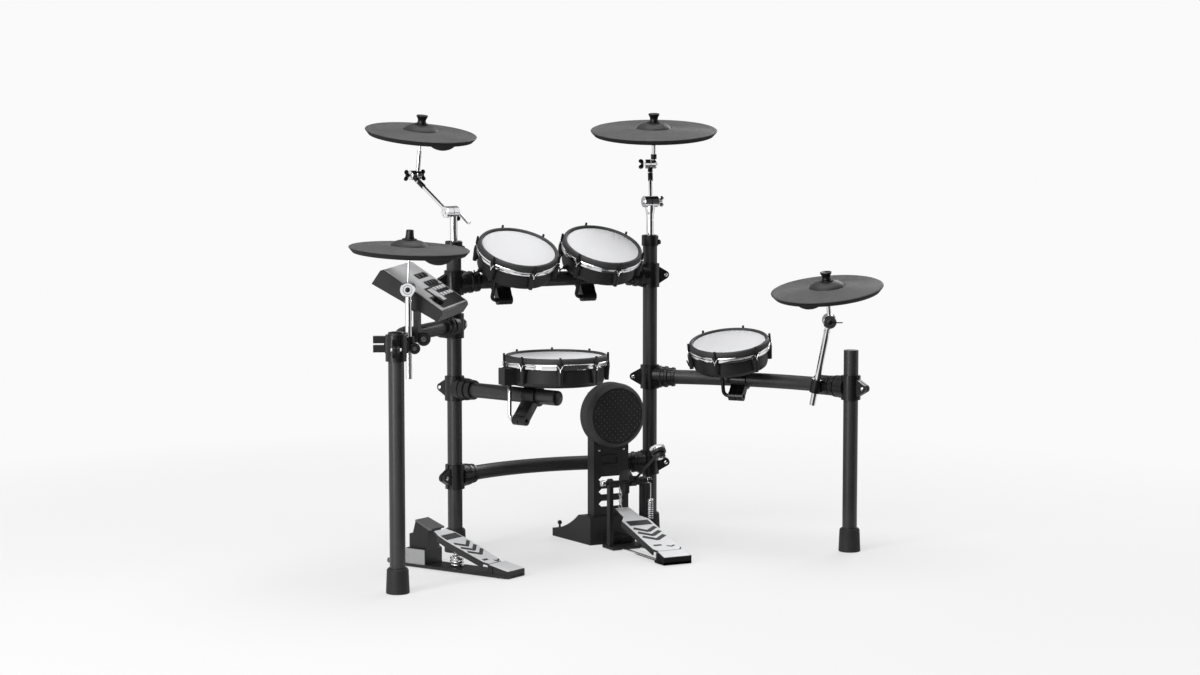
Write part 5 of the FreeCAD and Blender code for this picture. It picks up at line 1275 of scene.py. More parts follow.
@dataclass
class BoomStand:
    """The tube in an inner post and the boom on its tilter."""

    name: str
    top: Point
    axis: Point
    elbow: Point
    end: Point
    cymbal_axis: Point
    fork: bool = False
    handle: bool = False
    arm_shift: Pair = (0.0, 0.0)
    drum_shift: float = 0.0
    radius: float = 15.5
    upper: float = 13.0
    post_top: float = POST_TOP
    in_post: float = 0.134
    ring_drop: float = 50.0
    tube: float = 10.0
    bore: float = 8.5
    arm: float = 5.2
    # Black sleeve on the boom: partly a real sleeve, partly a painted dark reflection of the chrome boom's
    # shaded side.
    sleeve: Profile = ((5.2, -54), (6.6, -54), (7.0, -52), (7.0, -15), (6.2, -13), (5.2, -13))
    sleeve_ring: Profile = ((7.0, -32), (7.6, -31.4), (7.6, -29), (7.0, -28.4))
    handle_foot: float = 12.0
    handle_bend: Pair = (29.0, 31.0)
    handle_radius: float = 3.2
    upper_wing: float = 0.0125
    fork_wing: float = 0.0165
    lower_wing: Pair = (0.006, 0.011)
    finishes: tuple[Finish, Finish] = (Finishes.CHROME, Finishes.BLACK)

    def build(self) -> None:
        """Builds the tube with its knuckle and the boom with its two half drums."""
        self.build_tube()
        self.build_boom()
        self.build_wings()

    @property
    def drum(self) -> Matrix:
        """The frame of the lower tilter's drum."""
        return aimed(Vector(self.axis) * self.drum_shift, Vector(self.axis))

    def build_tube(self) -> None:
        """The sliding tube, its turned groove and the fixed half of the lower tilter."""
        top = Vector(self.top)
        shape = Shape(Matrix.Translation(top))
        low = (self.post_top - self.in_post - top.z) * TO_MM
        ring, r = -self.ring_drop, self.tube
        shape.turned([(self.bore, low), (r, low), (r, ring - 1.8), (9.2, ring - 1.2), (9.2, ring + 1.2),
                      (r, ring + 1.8), (r, -12.0), (0, -12.0), (0, -13.5), (self.bore, -13.5)])
        if self.fork:
            shape.turned([(r, ring + 14.0), (10.6, ring + 14.4), (13.4, -18), (12.0, -12), (r, -12)])
        r = self.radius
        shape.turned([(0, -13.0), (6.0, -13.0), (6.0, -11.0), (r - 1.2, -11.0), (r, -9.8), (r, 10.2),
                      (0, 10.2)], place=self.drum)
        if self.handle:
            out, side, down = -Vector(self.axis), Vector(ASIDE), Vector((0, 0, -1))
            foot = out * self.handle_foot
            bend = foot + side * self.handle_bend[0] + down * self.handle_bend[1]
            shape.drawn([foot - out * 4, foot + side * 3 + down * 2, bend, bend + side * 4.5 + down * 1.0,
                         bend + side * 6 - down * 4], self.handle_radius, 0, 14)
        shape.piece(self.name + "_pole", self.finishes, self.name + "_tube", "chrome_rod",
                    [self.name + "_tube"])

    def build_boom(self) -> None:
        """The boom arm with its black sleeve, which is partly a real sleeve and partly a painted dark
        reflection of the chrome boom, and its two half drums.
        """
        elbow = Vector(self.elbow)
        shape = Shape(Matrix.Translation(elbow))
        way = (Vector(self.end) - elbow) * TO_MM
        foot = Vector(self.axis) * self.arm_shift[0]
        arm_way = way + Vector(self.cymbal_axis) * self.arm_shift[1] - foot
        long = arm_way.length
        arm = aimed(foot, arm_way)
        shape.turned([(0, 0), (self.arm, 0), (self.arm, long), (0, long)], 0, 28, arm)
        # The sleeve in black: partly real, partly a painted dark reflection on the chrome boom.
        shape.turned(grown(self.sleeve, 0, long), 1, 28, arm)
        shape.turned(grown(self.sleeve_ring, 0, long), 0, 28, arm)
        r = self.radius
        shape.turned([(0, -10.2), (r, -10.2), (r, 9.6), (r - 1.4, 11.0), (r * 0.66, 11.0), (r * 0.6, 9.8),
                      (r * 0.4, 9.8), (r * 0.36, 12.6), (5.0, 13.2), (0, 13.4)], place=self.drum)
        r = self.upper
        upper = Matrix.Translation(way) @ aimed(Vector(), Vector(self.cymbal_axis))
        shape.turned([(0, -9.4), (5.5, -9.4), (5.5, -7.9), (r - 1.4, -7.9), (r, -6.6), (r, 7.6), (0, 7.6)],
                     0, 32, upper)
        shape.piece(self.name + "_arm", self.finishes, self.name + "_boom", "chrome_rod",
                    [self.name + "_boom"])

    def build_wings(self) -> None:
        """The black wing nut of the upper tilter and the wing of the lower one."""
        way, axis, down = Vector(self.cymbal_axis), Vector(self.axis), Vector((0, 0, -1))
        wings = [("_upper_wing", Finishes.BLACK, "_boom", (Vector(self.end) - way * self.upper_wing, -way))]
        if self.fork:
            spot = Vector(self.elbow) + axis * (self.fork_wing + self.drum_shift * MM)
            wings.append(("_lower_wing", Finishes.STEEL, "_boom", (spot, axis)))
        else:
            spot = Vector(self.top) - axis * self.lower_wing[0] + down * self.lower_wing[1]
            wings.append(("_lower_wing", Finishes.BLACK, "_tube", (spot, down)))
        for ending, finish, body, aim in wings:
            Repeats.make(self.name + ending, Repeats.wing_nuts(), finish, self.name + body, "chrome_rod",
                         WING_NUT, spots=[aim])


@dataclass
class PoleStand:
    """A cymbal tube held on a wing bar."""

    name: str
    start: Point
    end: Point
    cymbal_axis: Point
    radius: float = 8.0
    wall: float = 1.5
    drum: float = 19.0
    half: float = 8.8
    ring: Profile = ((0, -34), (1.2, -33), (1.2, -30), (0, -29))

    def build(self) -> None:
        """Builds the tube with the fixed half of its tilter."""
        start = Vector(self.start)
        shape = Shape(Matrix.Translation(start))
        way = (Vector(self.end) - start) * TO_MM
        long, r, bore = way.length, self.radius, self.radius - self.wall
        place = aimed(Vector(), way)
        shape.turned([(bore, 0), (r, 0), (r, long - 10), (0, long - 10), (0, long - 12), (bore, long - 12)],
                     0, 32, place)
        shape.turned(grown(self.ring, r, long), 0, 32, place)
        drum = Matrix.Translation(way) @ aimed(Vector(), Vector(self.cymbal_axis))
        d, half = self.drum, self.half
        shape.turned([(0, -half - 1.5), (6, -half - 1.5), (6, -half), (d - 1.4, -half), (d, 1.4 - half),
                      (d, half), (0, half)], place=drum)
        shape.piece(self.name + "_pole", [Finishes.CHROME], self.name + "_tube", "chrome_rod",
                    [self.name + "_tube"])


@dataclass
class SoundModule:
    """The module: case, panel with its screen, keys and dial."""

    origin: Point = (-0.50236, -0.05945, 0.697)
    along: Point = (0.60124, 0.79907, 0.0)
    up: Point = (0.44684, -0.33621, 0.82904)
    level: float = 59.0
    corners: tuple[Pair, Pair] = ((-146.0, -80.5), (146.0, 100.5))
    print_zone: Profile = ((-118, -76), (140, -76), (140, 2), (122, 2), (118, 24), (6, 24), (2, 2), (-66, 2),
                           (-66, -30), (-118, -30))
    print_band: tuple[Pair, Pair] = ((8, 36), (118, 56))
    screen_frame: tuple[Pair, Pair] = ((-54, -57), (4, -1))
    screen: tuple[Pair, Pair] = ((-50, -53), (0, -5))
    plate: float = 2.2
    key: Point = (18, 12, 6.6)
    key_sunk: float = 1.2
    light_keys: int = 8
    keys: tuple[Pair, ...] = (*((x, y) for y in (-34.0, -10.0, 14.0) for x in (14.0, 46.0, 78.0, 110.0)),
                              *((x, 46.0) for x in (20.0, 62.0, 104.0)))
    dial_place: Pair = (-0.096, -0.052)
    dial: Profile = ((0, -7), (3, -7), (3, 2.8), (13.4, 2.8), (13.0, 11.6), (11.8, 13.4), (7.5, 13.0),
                     (0, 12.6))
    dial_mark: tuple[Pair, Pair] = ((-1.0, 6.0), (1.0, 11.0))
    dial_mark_levels: Pair = (12.9, 13.6)
    rib_level: float = 0.0072

    @property
    def where(self) -> Matrix:
        """The module's frame, on its hinge."""
        return local_frame(self.origin, self.along, self.up)

    def build(self) -> None:
        """Builds the module's pieces."""
        ahead = self.where.to_3x3() @ Vector((0, -1, 0))
        facing_finish("module_case", "module", (Finishes.CASE, Finishes.FRONT), ahead)
        self.build_panel()
        self.build_keys()
        self.build_dial()

    def build_panel(self) -> None:
        """The panel plate with the printed zones and the screen."""
        level = self.level
        top = level + self.plate
        shape = Shape(self.where)
        shape.panel(*self.corners, (level, top))
        shape.flat(self.print_zone, top, level + 2.5, 1)
        shape.panel(*self.screen_frame, (top, level + 3.2), 1)
        shape.panel(*self.screen, (level + 3.2, level + 3.6), 2)
        shape.panel(*self.print_band, (top, level + 2.5), 1)
        shape.piece("module_face", [Finishes.PANEL, Finishes.PRINT, Finishes.SCREEN], "module",
                    "module_panel", ["module_panel"], 0.3, SHARP_BOX)

    def build_keys(self) -> None:
        """The key caps on their mat."""
        shape = Shape(self.where)
        for index, (x, y) in enumerate(self.keys):
            shape.block(self.key, int(index < self.light_keys), shifted(x, y, self.level - self.key_sunk))
        shape.piece("module_key_caps", [Finishes.KEY_DARK, Finishes.KEY_LIGHT], "module_keys", "keys",
                    ["module_keys"], 1.0, SHARP_BOX)

    def build_dial(self) -> None:
        """The value dial with its ribs."""
        place = self.where @ shifted(*self.dial_place, self.level * MM)
        shape = Shape(place)
        shape.turned(self.dial, 0, 48)
        shape.panel(*self.dial_mark, self.dial_mark_levels, 1)
        shape.piece("module_knob", [Finishes.KEY_DARK, Finishes.KEY_LIGHT], "module_dial", "dial",
                    ["module_dial"], angle=SHARP_BOX)
        sizes = {"Count": 28, "Radius": 0.0133, "Width": 0.0011, "Deep": 0.0011, "Tall": 0.0078}
        Repeats.make("module_knob_ribs", Repeats.ribs(), Finishes.KEY_DARK, "module_dial", "dial", sizes,
                     place @ shifted(z=self.rib_level))


@dataclass
class KickTower:
    """The kick tower, its pad and its small hardware."""

    origin: Point = KICK_PLACE
    pad_level: float = 360.0
    pad_deep: float = 40.0
    face: float = 76.0
    give: float = 0.95
    screw: tuple[float, ...] = (3.0, 1.5, 1.5, 3.0)
    screws: tuple[Point, ...] = ((-38, 0, 262), (38, 0, 262))
    spur: tuple[float, ...] = (6.0, 6.0, 3.0, 20.0)
    spurs: tuple[Point, ...] = ((-72, 176, 34), (72, 176, 34))

    @property
    def where(self) -> Matrix:
        """The tower's frame, at the foot of its plate."""
        return Matrix.Translation(self.origin)

    def build(self) -> None:
        """Builds the tower's pieces."""
        set_finish(Finishes.TOWER, "kick_tower")
        set_finish(Finishes.PAD, "kick_pad_shell")
        self.build_face()
        self.add_bolts("tower_screws", Finishes.STEEL, self.screw, self.screws, (0, -1, 0))
        self.add_bolts("tower_spurs", Finishes.BLACK, self.spur, self.spurs, UP)

    def build_face(self) -> None:
        """The struck face with its raised dots."""
        place = self.where @ shifted(z=self.pad_level * MM) @ rotated(90, "X")
        deep, edge = self.pad_deep, self.face
        shape = Shape(place)
        shape.turned([(0, deep - 14), (edge, deep - 14), (edge, deep - 3.4), (edge - 1.2, deep - 1.2),
                      (edge - 3.4, deep - 0.3), (edge * 0.75, deep + 0.5), (edge * 0.4, deep + 1.2),
                      (0, deep + 1.4)], 0, 72)
        piece = shape.piece("kick_face", [Finishes.FACE], "rack", "kick_pad", ["kick_pad_face"])
        sizes = {"Radius": (edge - 4) * MM, "Rows": 13, "Dot": 0.0015}
        Repeats.make("kick_face_dots", Repeats.dots(), Finishes.DOT, "rack", "kick_pad", sizes,
                     place @ shifted(z=(deep + 0.9) * MM))

    def add_bolts(self, name: str, finish: Finish, bolt: Sequence[float], points: Sequence[Point],
                  way: Point) -> None:
        """Adds the screws of the plate or the spur bolts of the base.

        Args:
            name: the piece's name.
            finish: its finish.
            bolt: sizes of one bolt, as in bolt_sizes().
            points: places in the tower's frame.
            way: the way that the heads face.
        """
        spots = [(self.where @ (Vector(point) * MM), Vector(way)) for point in points]
        Repeats.make(name, Repeats.bolts(), finish, "rack", "tower", bolt_sizes(*bolt), spots=spots)


@dataclass(frozen=True)
class Footboard:
    """What the cast boards of both pedals share: the levels of their layers, and their ribs."""

    name: str
    where: Matrix
    under: Pair = (0, 4.4)
    cast: Pair = (4.4, 6.0)
    marks: Pair = (6.0, 6.5)
    skirt: Pair = (-11.0, 0.4)
    hinge_radius: float = 7.0

    def build(self, outline: Profile, inner: Profile, skirts: Sequence[Profile], marks: Sequence[Profile],
              hinge: Point, foot: Block) -> None:
        """Builds the board.

        Args:
            outline: the board's outline.
            inner: the outline of the cast top.
            skirts: outlines of the side skirts.
            marks: outlines of the dark bands and marks.
            hinge: one end of the hinge barrel.
            foot: the hinge's block.
        """
        shape = Shape(self.where)
        shape.flat(outline, *self.under, 1)
        shape.flat(inner, *self.cast, 0)
        for skirt in skirts:
            shape.flat(skirt, *self.skirt, 1)
        for mark in marks:
            shape.flat(mark, *self.marks, 1)
        shape.rod(hinge, -Vector(hinge), self.hinge_radius, 1, 24, 0.8)
        shape.block(foot.size, 1, shifted(*foot.place))
        body = self.name + "_footboard"
        shape.piece(self.name + "_board", [Finishes.BOARD, Finishes.EDGE], body, "footboard", [body], 0.6,
                    SHARP_BOX)

    def build_ribs(self, pitch: float, arm: float, width: float, place: Matrix) -> None:
        """Adds the three chevron ribs, with the row's pitch, a rib's arm and width, and the row's place."""
        sizes = {"Count": 3, "Pitch": pitch, "Arm": arm, "Width": width, "Tall": 0.0012, "Lean": 0.62}
        Repeats.make(self.name + "_board_ribs", Repeats.chevrons(), Finishes.EDGE, self.name + "_footboard",
                     "footboard", sizes, self.where @ place)


@dataclass
class KickPedal:
    """The kick pedal: frame, footboard, axle with beater, chain and spring."""

    origin: Point = KICK_PLACE
    axle: Pair = (-90.0, 184.0)
    heel: Pair = (-348.0, 24.0)
    upright: float = 50.0
    board_angle: float = 15.5
    board_long: float = 296.0
    board_wide: float = 86.0
    coil_share: float = 0.55
    coil_end: float = 0.0009
    spring_rod: float = 1.6
    bend: float = 0.022
    bend_end: float = 0.003
    rod_steps: int = 24
    beater_rest: float = 56.0
    beater_reach: float = 174.0
    beater_side: float = 22.0
    cam: float = 32.0
    cam_turns: tuple[int, ...] = tuple(range(-100, 180, 14))
    links: int = 9
    base: tuple[Block, ...] = (Block((116, 64, 8), (0, -90, 2)), Block((60, 59.7, 26), (0, -40.1, 2)))
    post: Pair = (12, 18)
    bearing: Pair = (7, 12)
    ear: Pair = (10, 16)
    ear_out: float = 38.0
    tie_out: float = 28.0
    hook: tuple[Block, ...] = (Block((10, 30, 6), (52, -98, 74)), Block((24, 10, 6), (64, -108, 74)))
    heel_plate: Block = Block((84, 54, 8), (0, -356, 2))
    heel_pin: Bar = Bar((-42, -348, 24), (42, -348, 24), 3, 1)
    heel_cover: tuple[Side, ...] = (Side(((-35, 2), (-9.5, 2), (-9.5, 29.5), (-35, 23)), 84),
                                    Side(((-34, 22.2), (4, 32.6), (4, 34.6), (-34, 24.2)), 80, 2),
                                    Side(((-34.6, 20), (4, 30.4), (4, 33.4), (-34.6, 23)), 83))
    axle_bar: Bar = Bar((-75, 0, 0), (75, 0, 0), 6, 0, 24, 1.0)
    cam_half: float = 7.0
    cam_foot: Pair = (0, -6)
    hub: Block = Block((22, 20, 24), (22, 0, -10))
    spring_arm: Block = Block((6, 30, 8), (66, -12, -4))
    collars: tuple[Bar, ...] = (Bar((-78, 0, 0), (-66, 0, 0), 8.5, 1, 28, 1.5),
                                Bar((62, 0, 0), (77, 0, 0), 8.5, 1, 28, 1.5),
                                Bar((34, 0, 0), (43, 0, 0), 11.0, 0, 28, 1.0))
    head: tuple[tuple[Profile, int, int], ...] = (
        (((0, 0.2), (17, 0), (20, 1.4), (21, 4), (21, 8), (0, 8)), 2, 40),
        (((0, 8), (20.6, 8), (21, 8.6), (21, 12), (0, 12)), 1, 40),
        (((0, 12), (20, 12), (21, 13), (21, 20), (19.5, 22), (0, 22)), 0, 40),
        (((0, 22), (15, 22), (16, 24), (16, 32), (14, 35), (0, 36)), 0, 40),
        (((0, 35), (7, 35), (7.5, 36), (6.5, 37.5), (0, 38)), 1, 24))
    spring_seat: Profile = ((0, -4), (6.6, -4), (7.4, -3), (7.4, -0.6), (6.0, 0.6), (0, 0.6))

    @property
    def where(self) -> Matrix:
        """The tower's frame, which the pedal shares."""
        return Matrix.Translation(self.origin)

    @property
    def board(self) -> Matrix:
        """The footboard's frame on its hinge, in metres."""
        return self.where @ shifted(0, self.heel[0] * MM, self.heel[1] * MM) @ rotated(self.board_angle, "X")

    def build(self) -> None:
        """Builds the pedal's pieces."""
        self.build_frame()
        self.build_board()
        self.build_beater()
        self.build_chain()
        self.build_spring()

    def build_frame(self) -> None:
        """Base, uprights with bearings, heel block and rods."""
        back, level = self.axle
        heel_y, heel_z = self.heel
        shape = Shape(self.where)
        shape.add(*self.base)
        half, radius = self.bearing
        for side in SIDES:
            x, ear, tie = side * self.upright, side * self.ear_out, side * self.tie_out
            shape.add(Block((*self.post, level - 10), (x, back, 2)),
                      Bar((x - half, back, level), (x + half, back, level), radius, 0, 28, 1.5),
                      Block((*self.ear, heel_z + 4), (ear, heel_y, 2)),
                      Bar((tie, heel_y, 6), (tie, back, 6), 3.5, 1))
        shape.add(*self.hook, self.heel_plate)
        shape.add(*self.heel_cover, place=shifted(0, heel_y) @ rotated(90, "Z"))
        shape.add(self.heel_pin)
        shape.piece("kick_frame", [Finishes.FRAME, Finishes.STEEL, Finishes.BOARD], "rack", "pedal_frame",
                    ["kick_pedal_frame"], 1.0, SHARP_BOX)

    def build_board(self) -> None:
        """The footboard with its skirts, dark band and chevron ribs."""
        half, long = self.board_wide / 2, self.board_long
        neck, toe = long * 0.72, long * 0.8
        outline = [(-30, 9), (30, 9), (half, 26), (half, neck), (26, toe), (22, long), (-22, long),
                   (-26, toe), (-half, neck), (-half, 26)]
        inner = [(x * 0.96, 4 + y * 0.985) for x, y in outline]
        skirt = [(half, 26), (half, neck), (26, toe), (22, toe), (half - 4, long * 0.71), (half - 4, 26)]
        skirts = [[(side * x, y) for x, y in skirt] for side in SIDES]
        marks = [[(-34, long * 0.6), (34, long * 0.6), (34, long * 0.7), (-34, long * 0.7)],
                 [(-30, 44), (-6, 44), (-6, 52), (-30, 52)],
                 [(6, 38), (18, 32), (30, 38), (30, 44), (18, 38), (6, 44)]]
        board = Footboard("kick", self.board)
        board.build(outline, inner, skirts, marks, (-30, 0, 0), Block((60, 16, 6), (0, 6, 0)))
        board.build_ribs(pitch=0.027, arm=0.042, width=0.012, place=shifted(0, 0.082, 0.0062))

    def build_beater(self) -> None:
        """Axle, cam, hub, rod and the beater with its felt face."""
        back, level = self.axle
        shape = Shape(self.where @ shifted(0, back * MM, level * MM))
        shape.add(self.axle_bar)
        turns = [math.radians(turn) for turn in self.cam_turns]
        cam = [(-self.cam * math.sin(turn), self.cam * math.cos(turn)) for turn in turns]
        shape.flat([self.cam_foot] + cam, -self.cam_half, self.cam_half, 0, rotated(90, "Y"))
        swing = rotated(self.beater_rest, "X")
        shape.add(self.hub, place=swing)
        shape.add(self.spring_arm, *self.collars)
        tip, reach = swing @ shifted(self.beater_side), self.beater_reach
        shape.turned([(0, 2), (3.6, 2), (3.6, reach - 18), (0, reach - 18)], 0, 18, tip)
        head = tip @ shifted(0, 18, reach) @ rotated(90, "X")
        for profile, finish, steps in self.head:
            shape.turned(profile, finish, steps, head)
        shape.piece("kick_drive", [Finishes.FRAME, Finishes.STEEL, Finishes.FELT], "kick_beater", "beater",
                    ["kick_beater"], 0.5, SHARP_BOX)

    def build_chain(self) -> None:
        """The chain from the board's toe to the cam."""
        low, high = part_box("kick_chain")
        middle = (low + high) / 2
        pitch = (high.z - low.z) / self.links
        sizes = {"Count": self.links, "Pitch": pitch, "Width": 0.0042, "Wire": 0.0011}
        Repeats.make("kick_chain_links", Repeats.links(), Finishes.STEEL, "kick_footboard", "spring", sizes,
                     shifted(middle.x, middle.y, low.z + pitch / 2), nodes=["kick_chain"])

    def build_spring(self) -> None:
        """The return spring on its hook, and its thin straight rod from the coil up to the top of the spring.
        """
        low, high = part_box("kick_spring")
        x, y = (low.x + high.x) / 2, (low.y + high.y) / 2
        coil = (high.z - low.z) * self.coil_share
        sizes = {"Turns": 9.0, "Radius": 0.007, "Height": coil - 2 * self.coil_end, "Wire": 0.0011}
        Repeats.make("kick_spring_coil", Repeats.coil(), Finishes.CHROME, "rack", "spring", sizes,
                     shifted(x, y, low.z + self.coil_end))
        shape = Shape(shifted(x, y, low.z + coil))
        top, foot, steps = (high.z - low.z - coil) * TO_MM, -6, self.rod_steps
        way = [(0, 0, foot + (top - foot) * step / steps) for step in range(steps + 1)]
        shape.drawn(way, self.spring_rod, 0, 14)
        shape.turned(self.spring_seat, 0, 24)
        rod = shown("kick_spring_rod", shape.mesh("kick_spring_rod", [Finishes.STEEL], SHARP))
        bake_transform(rod)
        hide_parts("kick_spring")
        LOG.info("kick_spring_rod between rack and kick_beater")


@dataclass
class HihatPedal:
    """The hi-hat controller pedal."""

    origin: Point = (-0.47838, 0.06611, 0.0)
    along: Point = (0.46484, -0.88539, 0.0)
    long: float = 360.0
    wide: float = 76.0
    hinge: float = 300.0
    heel_level: float = 24.0
    angle: float = 20.5
    board_long: float = 209.0
    board_wide: float = 80.0
    coil_tall: float = 0.024
    coil_room: float = 0.024
    coil_gap: float = 0.0003
    rubber: Profile = ((0, 0), (8.4, 0), (9, 0.6), (9, 2), (0, 2))
    rubbers: Profile = ((20, -23), (20, 23), (322, -23), (322, 23))
    ears: Pair = (-30, 30)
    housing: tuple[Side, ...] = (Side(((20, 10), (84, 10), (84, 50), (20, 50)), 72, 1),
                                 Side(((84, 10), (86, 10), (86, 48), (84, 50)), 72),
                                 Side(((20, 50), (84, 50), (80, 52), (24, 52)), 72))
    hood: tuple[Side, ...] = (Side(((26, 46), (84, 46), (91, 103), (47, 123), (38, 92), (26, 88)), 54),
                              Side(((91, 101), (101, 103), (102, 107), (47, 127), (45, 122)), 54, 4))
    heel: tuple[Side, ...] = (Side(((310, 2), (360, 2), (360, 19), (356, 21), (310, 30)), 70),
                              Side(((297, 32.4), (358, 19.8), (358, 22), (297, 34.6)), 70, 3),
                              Side(((297, 30.8), (358.6, 17.8), (358.6, 21), (297, 33.6)), 72))
    pin: Bar = Bar((300, -34, 24), (300, 34, 24), 3, 2)
    spur: tuple[Bar, Bar] = (Bar((10, -30, 9), (0, -66, 19), 3.0, 2),
                             Bar((0, -64, 18.6), (-2, -80, 22), 7.0, 4, 20, 1.2))

    @property
    def where(self) -> Matrix:
        """The pedal's frame, on the floor under its back edge."""
        return local_frame(self.origin, self.along)

    @property
    def board(self) -> Matrix:
        """The footboard's frame on its hinge, in metres."""
        return self.where @ shifted(self.hinge * MM, 0, self.heel_level * MM) @ rotated(self.angle, "Y")

    def build(self) -> None:
        """Builds the pedal's pieces."""
        self.build_base()
        self.build_board()
        self.build_spring()

    def build_base(self) -> None:
        """Deck with its rubber pads, sensor housing with its hood, heel block and hinge ears."""
        long, half = self.long, self.wide / 2
        shape = Shape(self.where)
        shape.flat([(0, 12 - half), (12, -half), (long - 10, -half), (long, 10 - half), (long, half - 10),
                    (long - 10, half), (12, half), (0, half - 12)], 2, 10, 0)
        for x, y in self.rubbers:
            shape.turned(self.rubber, 0, 20, shifted(x, y))
        shape.add(*self.housing, *self.hood, *self.heel)
        shape.add(*[Block((16, 10, self.heel_level + 4), (self.hinge, y, 2)) for y in self.ears])
        shape.add(self.pin, *self.spur)
        finishes = [Finishes.FRAME, Finishes.HOUSING, Finishes.STEEL, Finishes.BOARD, Finishes.FRONT]
        shape.piece("hihat_deck", finishes, "rack", "controller", ["hihat_base"], 1.0, SHARP_BOX)

    def build_board(self) -> None:
        """The leaf-shaped footboard with its skirts, dark band and chevron ribs."""
        half, long = self.board_wide / 2, self.board_long
        edge = [(-9, 24), (-26, half - 6), (-long * 0.703, half), (-long * 0.885, half - 4),
                (-long, half - 15)]
        outline = [(x, -y) for x, y in edge] + edge[::-1]
        inner = [(-3 + x * 0.975, y * 0.95) for x, y in outline]
        skirt = edge[1:4] + [(x, y - 4) for x, y in reversed(edge[1:4])]
        skirts = [[(x, side * y) for x, y in skirt] for side in SIDES]
        marks = [[(-long * 0.86, -31), (-long * 0.74, -33), (-long * 0.74, 33), (-long * 0.86, 31)],
                 [(-38, -26), (-30, -26), (-30, -6), (-38, -6)],
                 [(-26, 6), (-20, 6), (-14, 17), (-20, 28), (-26, 28), (-20, 17)]]
        board = Footboard("hihat", self.board)
        board.build(outline, inner, skirts, marks, (0, -24.5, 0), Block((16, 49, 6), (-6, 0, 0)))
        place = shifted(-0.062, 0, 0.0062) @ rotated(90, "Z")
        board.build_ribs(pitch=0.024, arm=0.038, width=0.010, place=place)

    def build_spring(self) -> None:
        """The spring: a wide coil on the deck, and a narrow one on the board that goes down into it."""
        low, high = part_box("hihat_spring")
        x, y = (low.x + high.x) / 2, (low.y + high.y) / 2
        deck = {"Turns": 3.0, "Radius": 0.0165, "Height": self.coil_tall, "Wire": 0.0025}
        Repeats.make("hihat_spring_coil", Repeats.coil(), Finishes.STEEL, "rack", "spring", deck,
                     shifted(x, y, low.z + deck["Wire"] + self.coil_gap))
        board = {"Turns": 4.0, "Radius": 0.008, "Height": high.z - low.z - self.coil_room, "Wire": 0.002}
        Repeats.make("hihat_spring_core", Repeats.coil(), Finishes.STEEL, "hihat_footboard", "spring", board,
                     shifted(x, y, low.z + self.coil_room - board["Wire"]), nodes=["hihat_spring"])


@dataclass(frozen=True)
class DarkSide:
    """A dark upright side of the room: its direction, where it begins, as cosines, and its brightness."""

    way: Point
    edge: Pair
    shade: float


@dataclass(frozen=True)
class Lamp:
    """A soft lamp: where it hangs, what it faces, its width and height, and its power in watts."""

    name: str
    place: Point
    target: Point
    size: Pair
    power: float


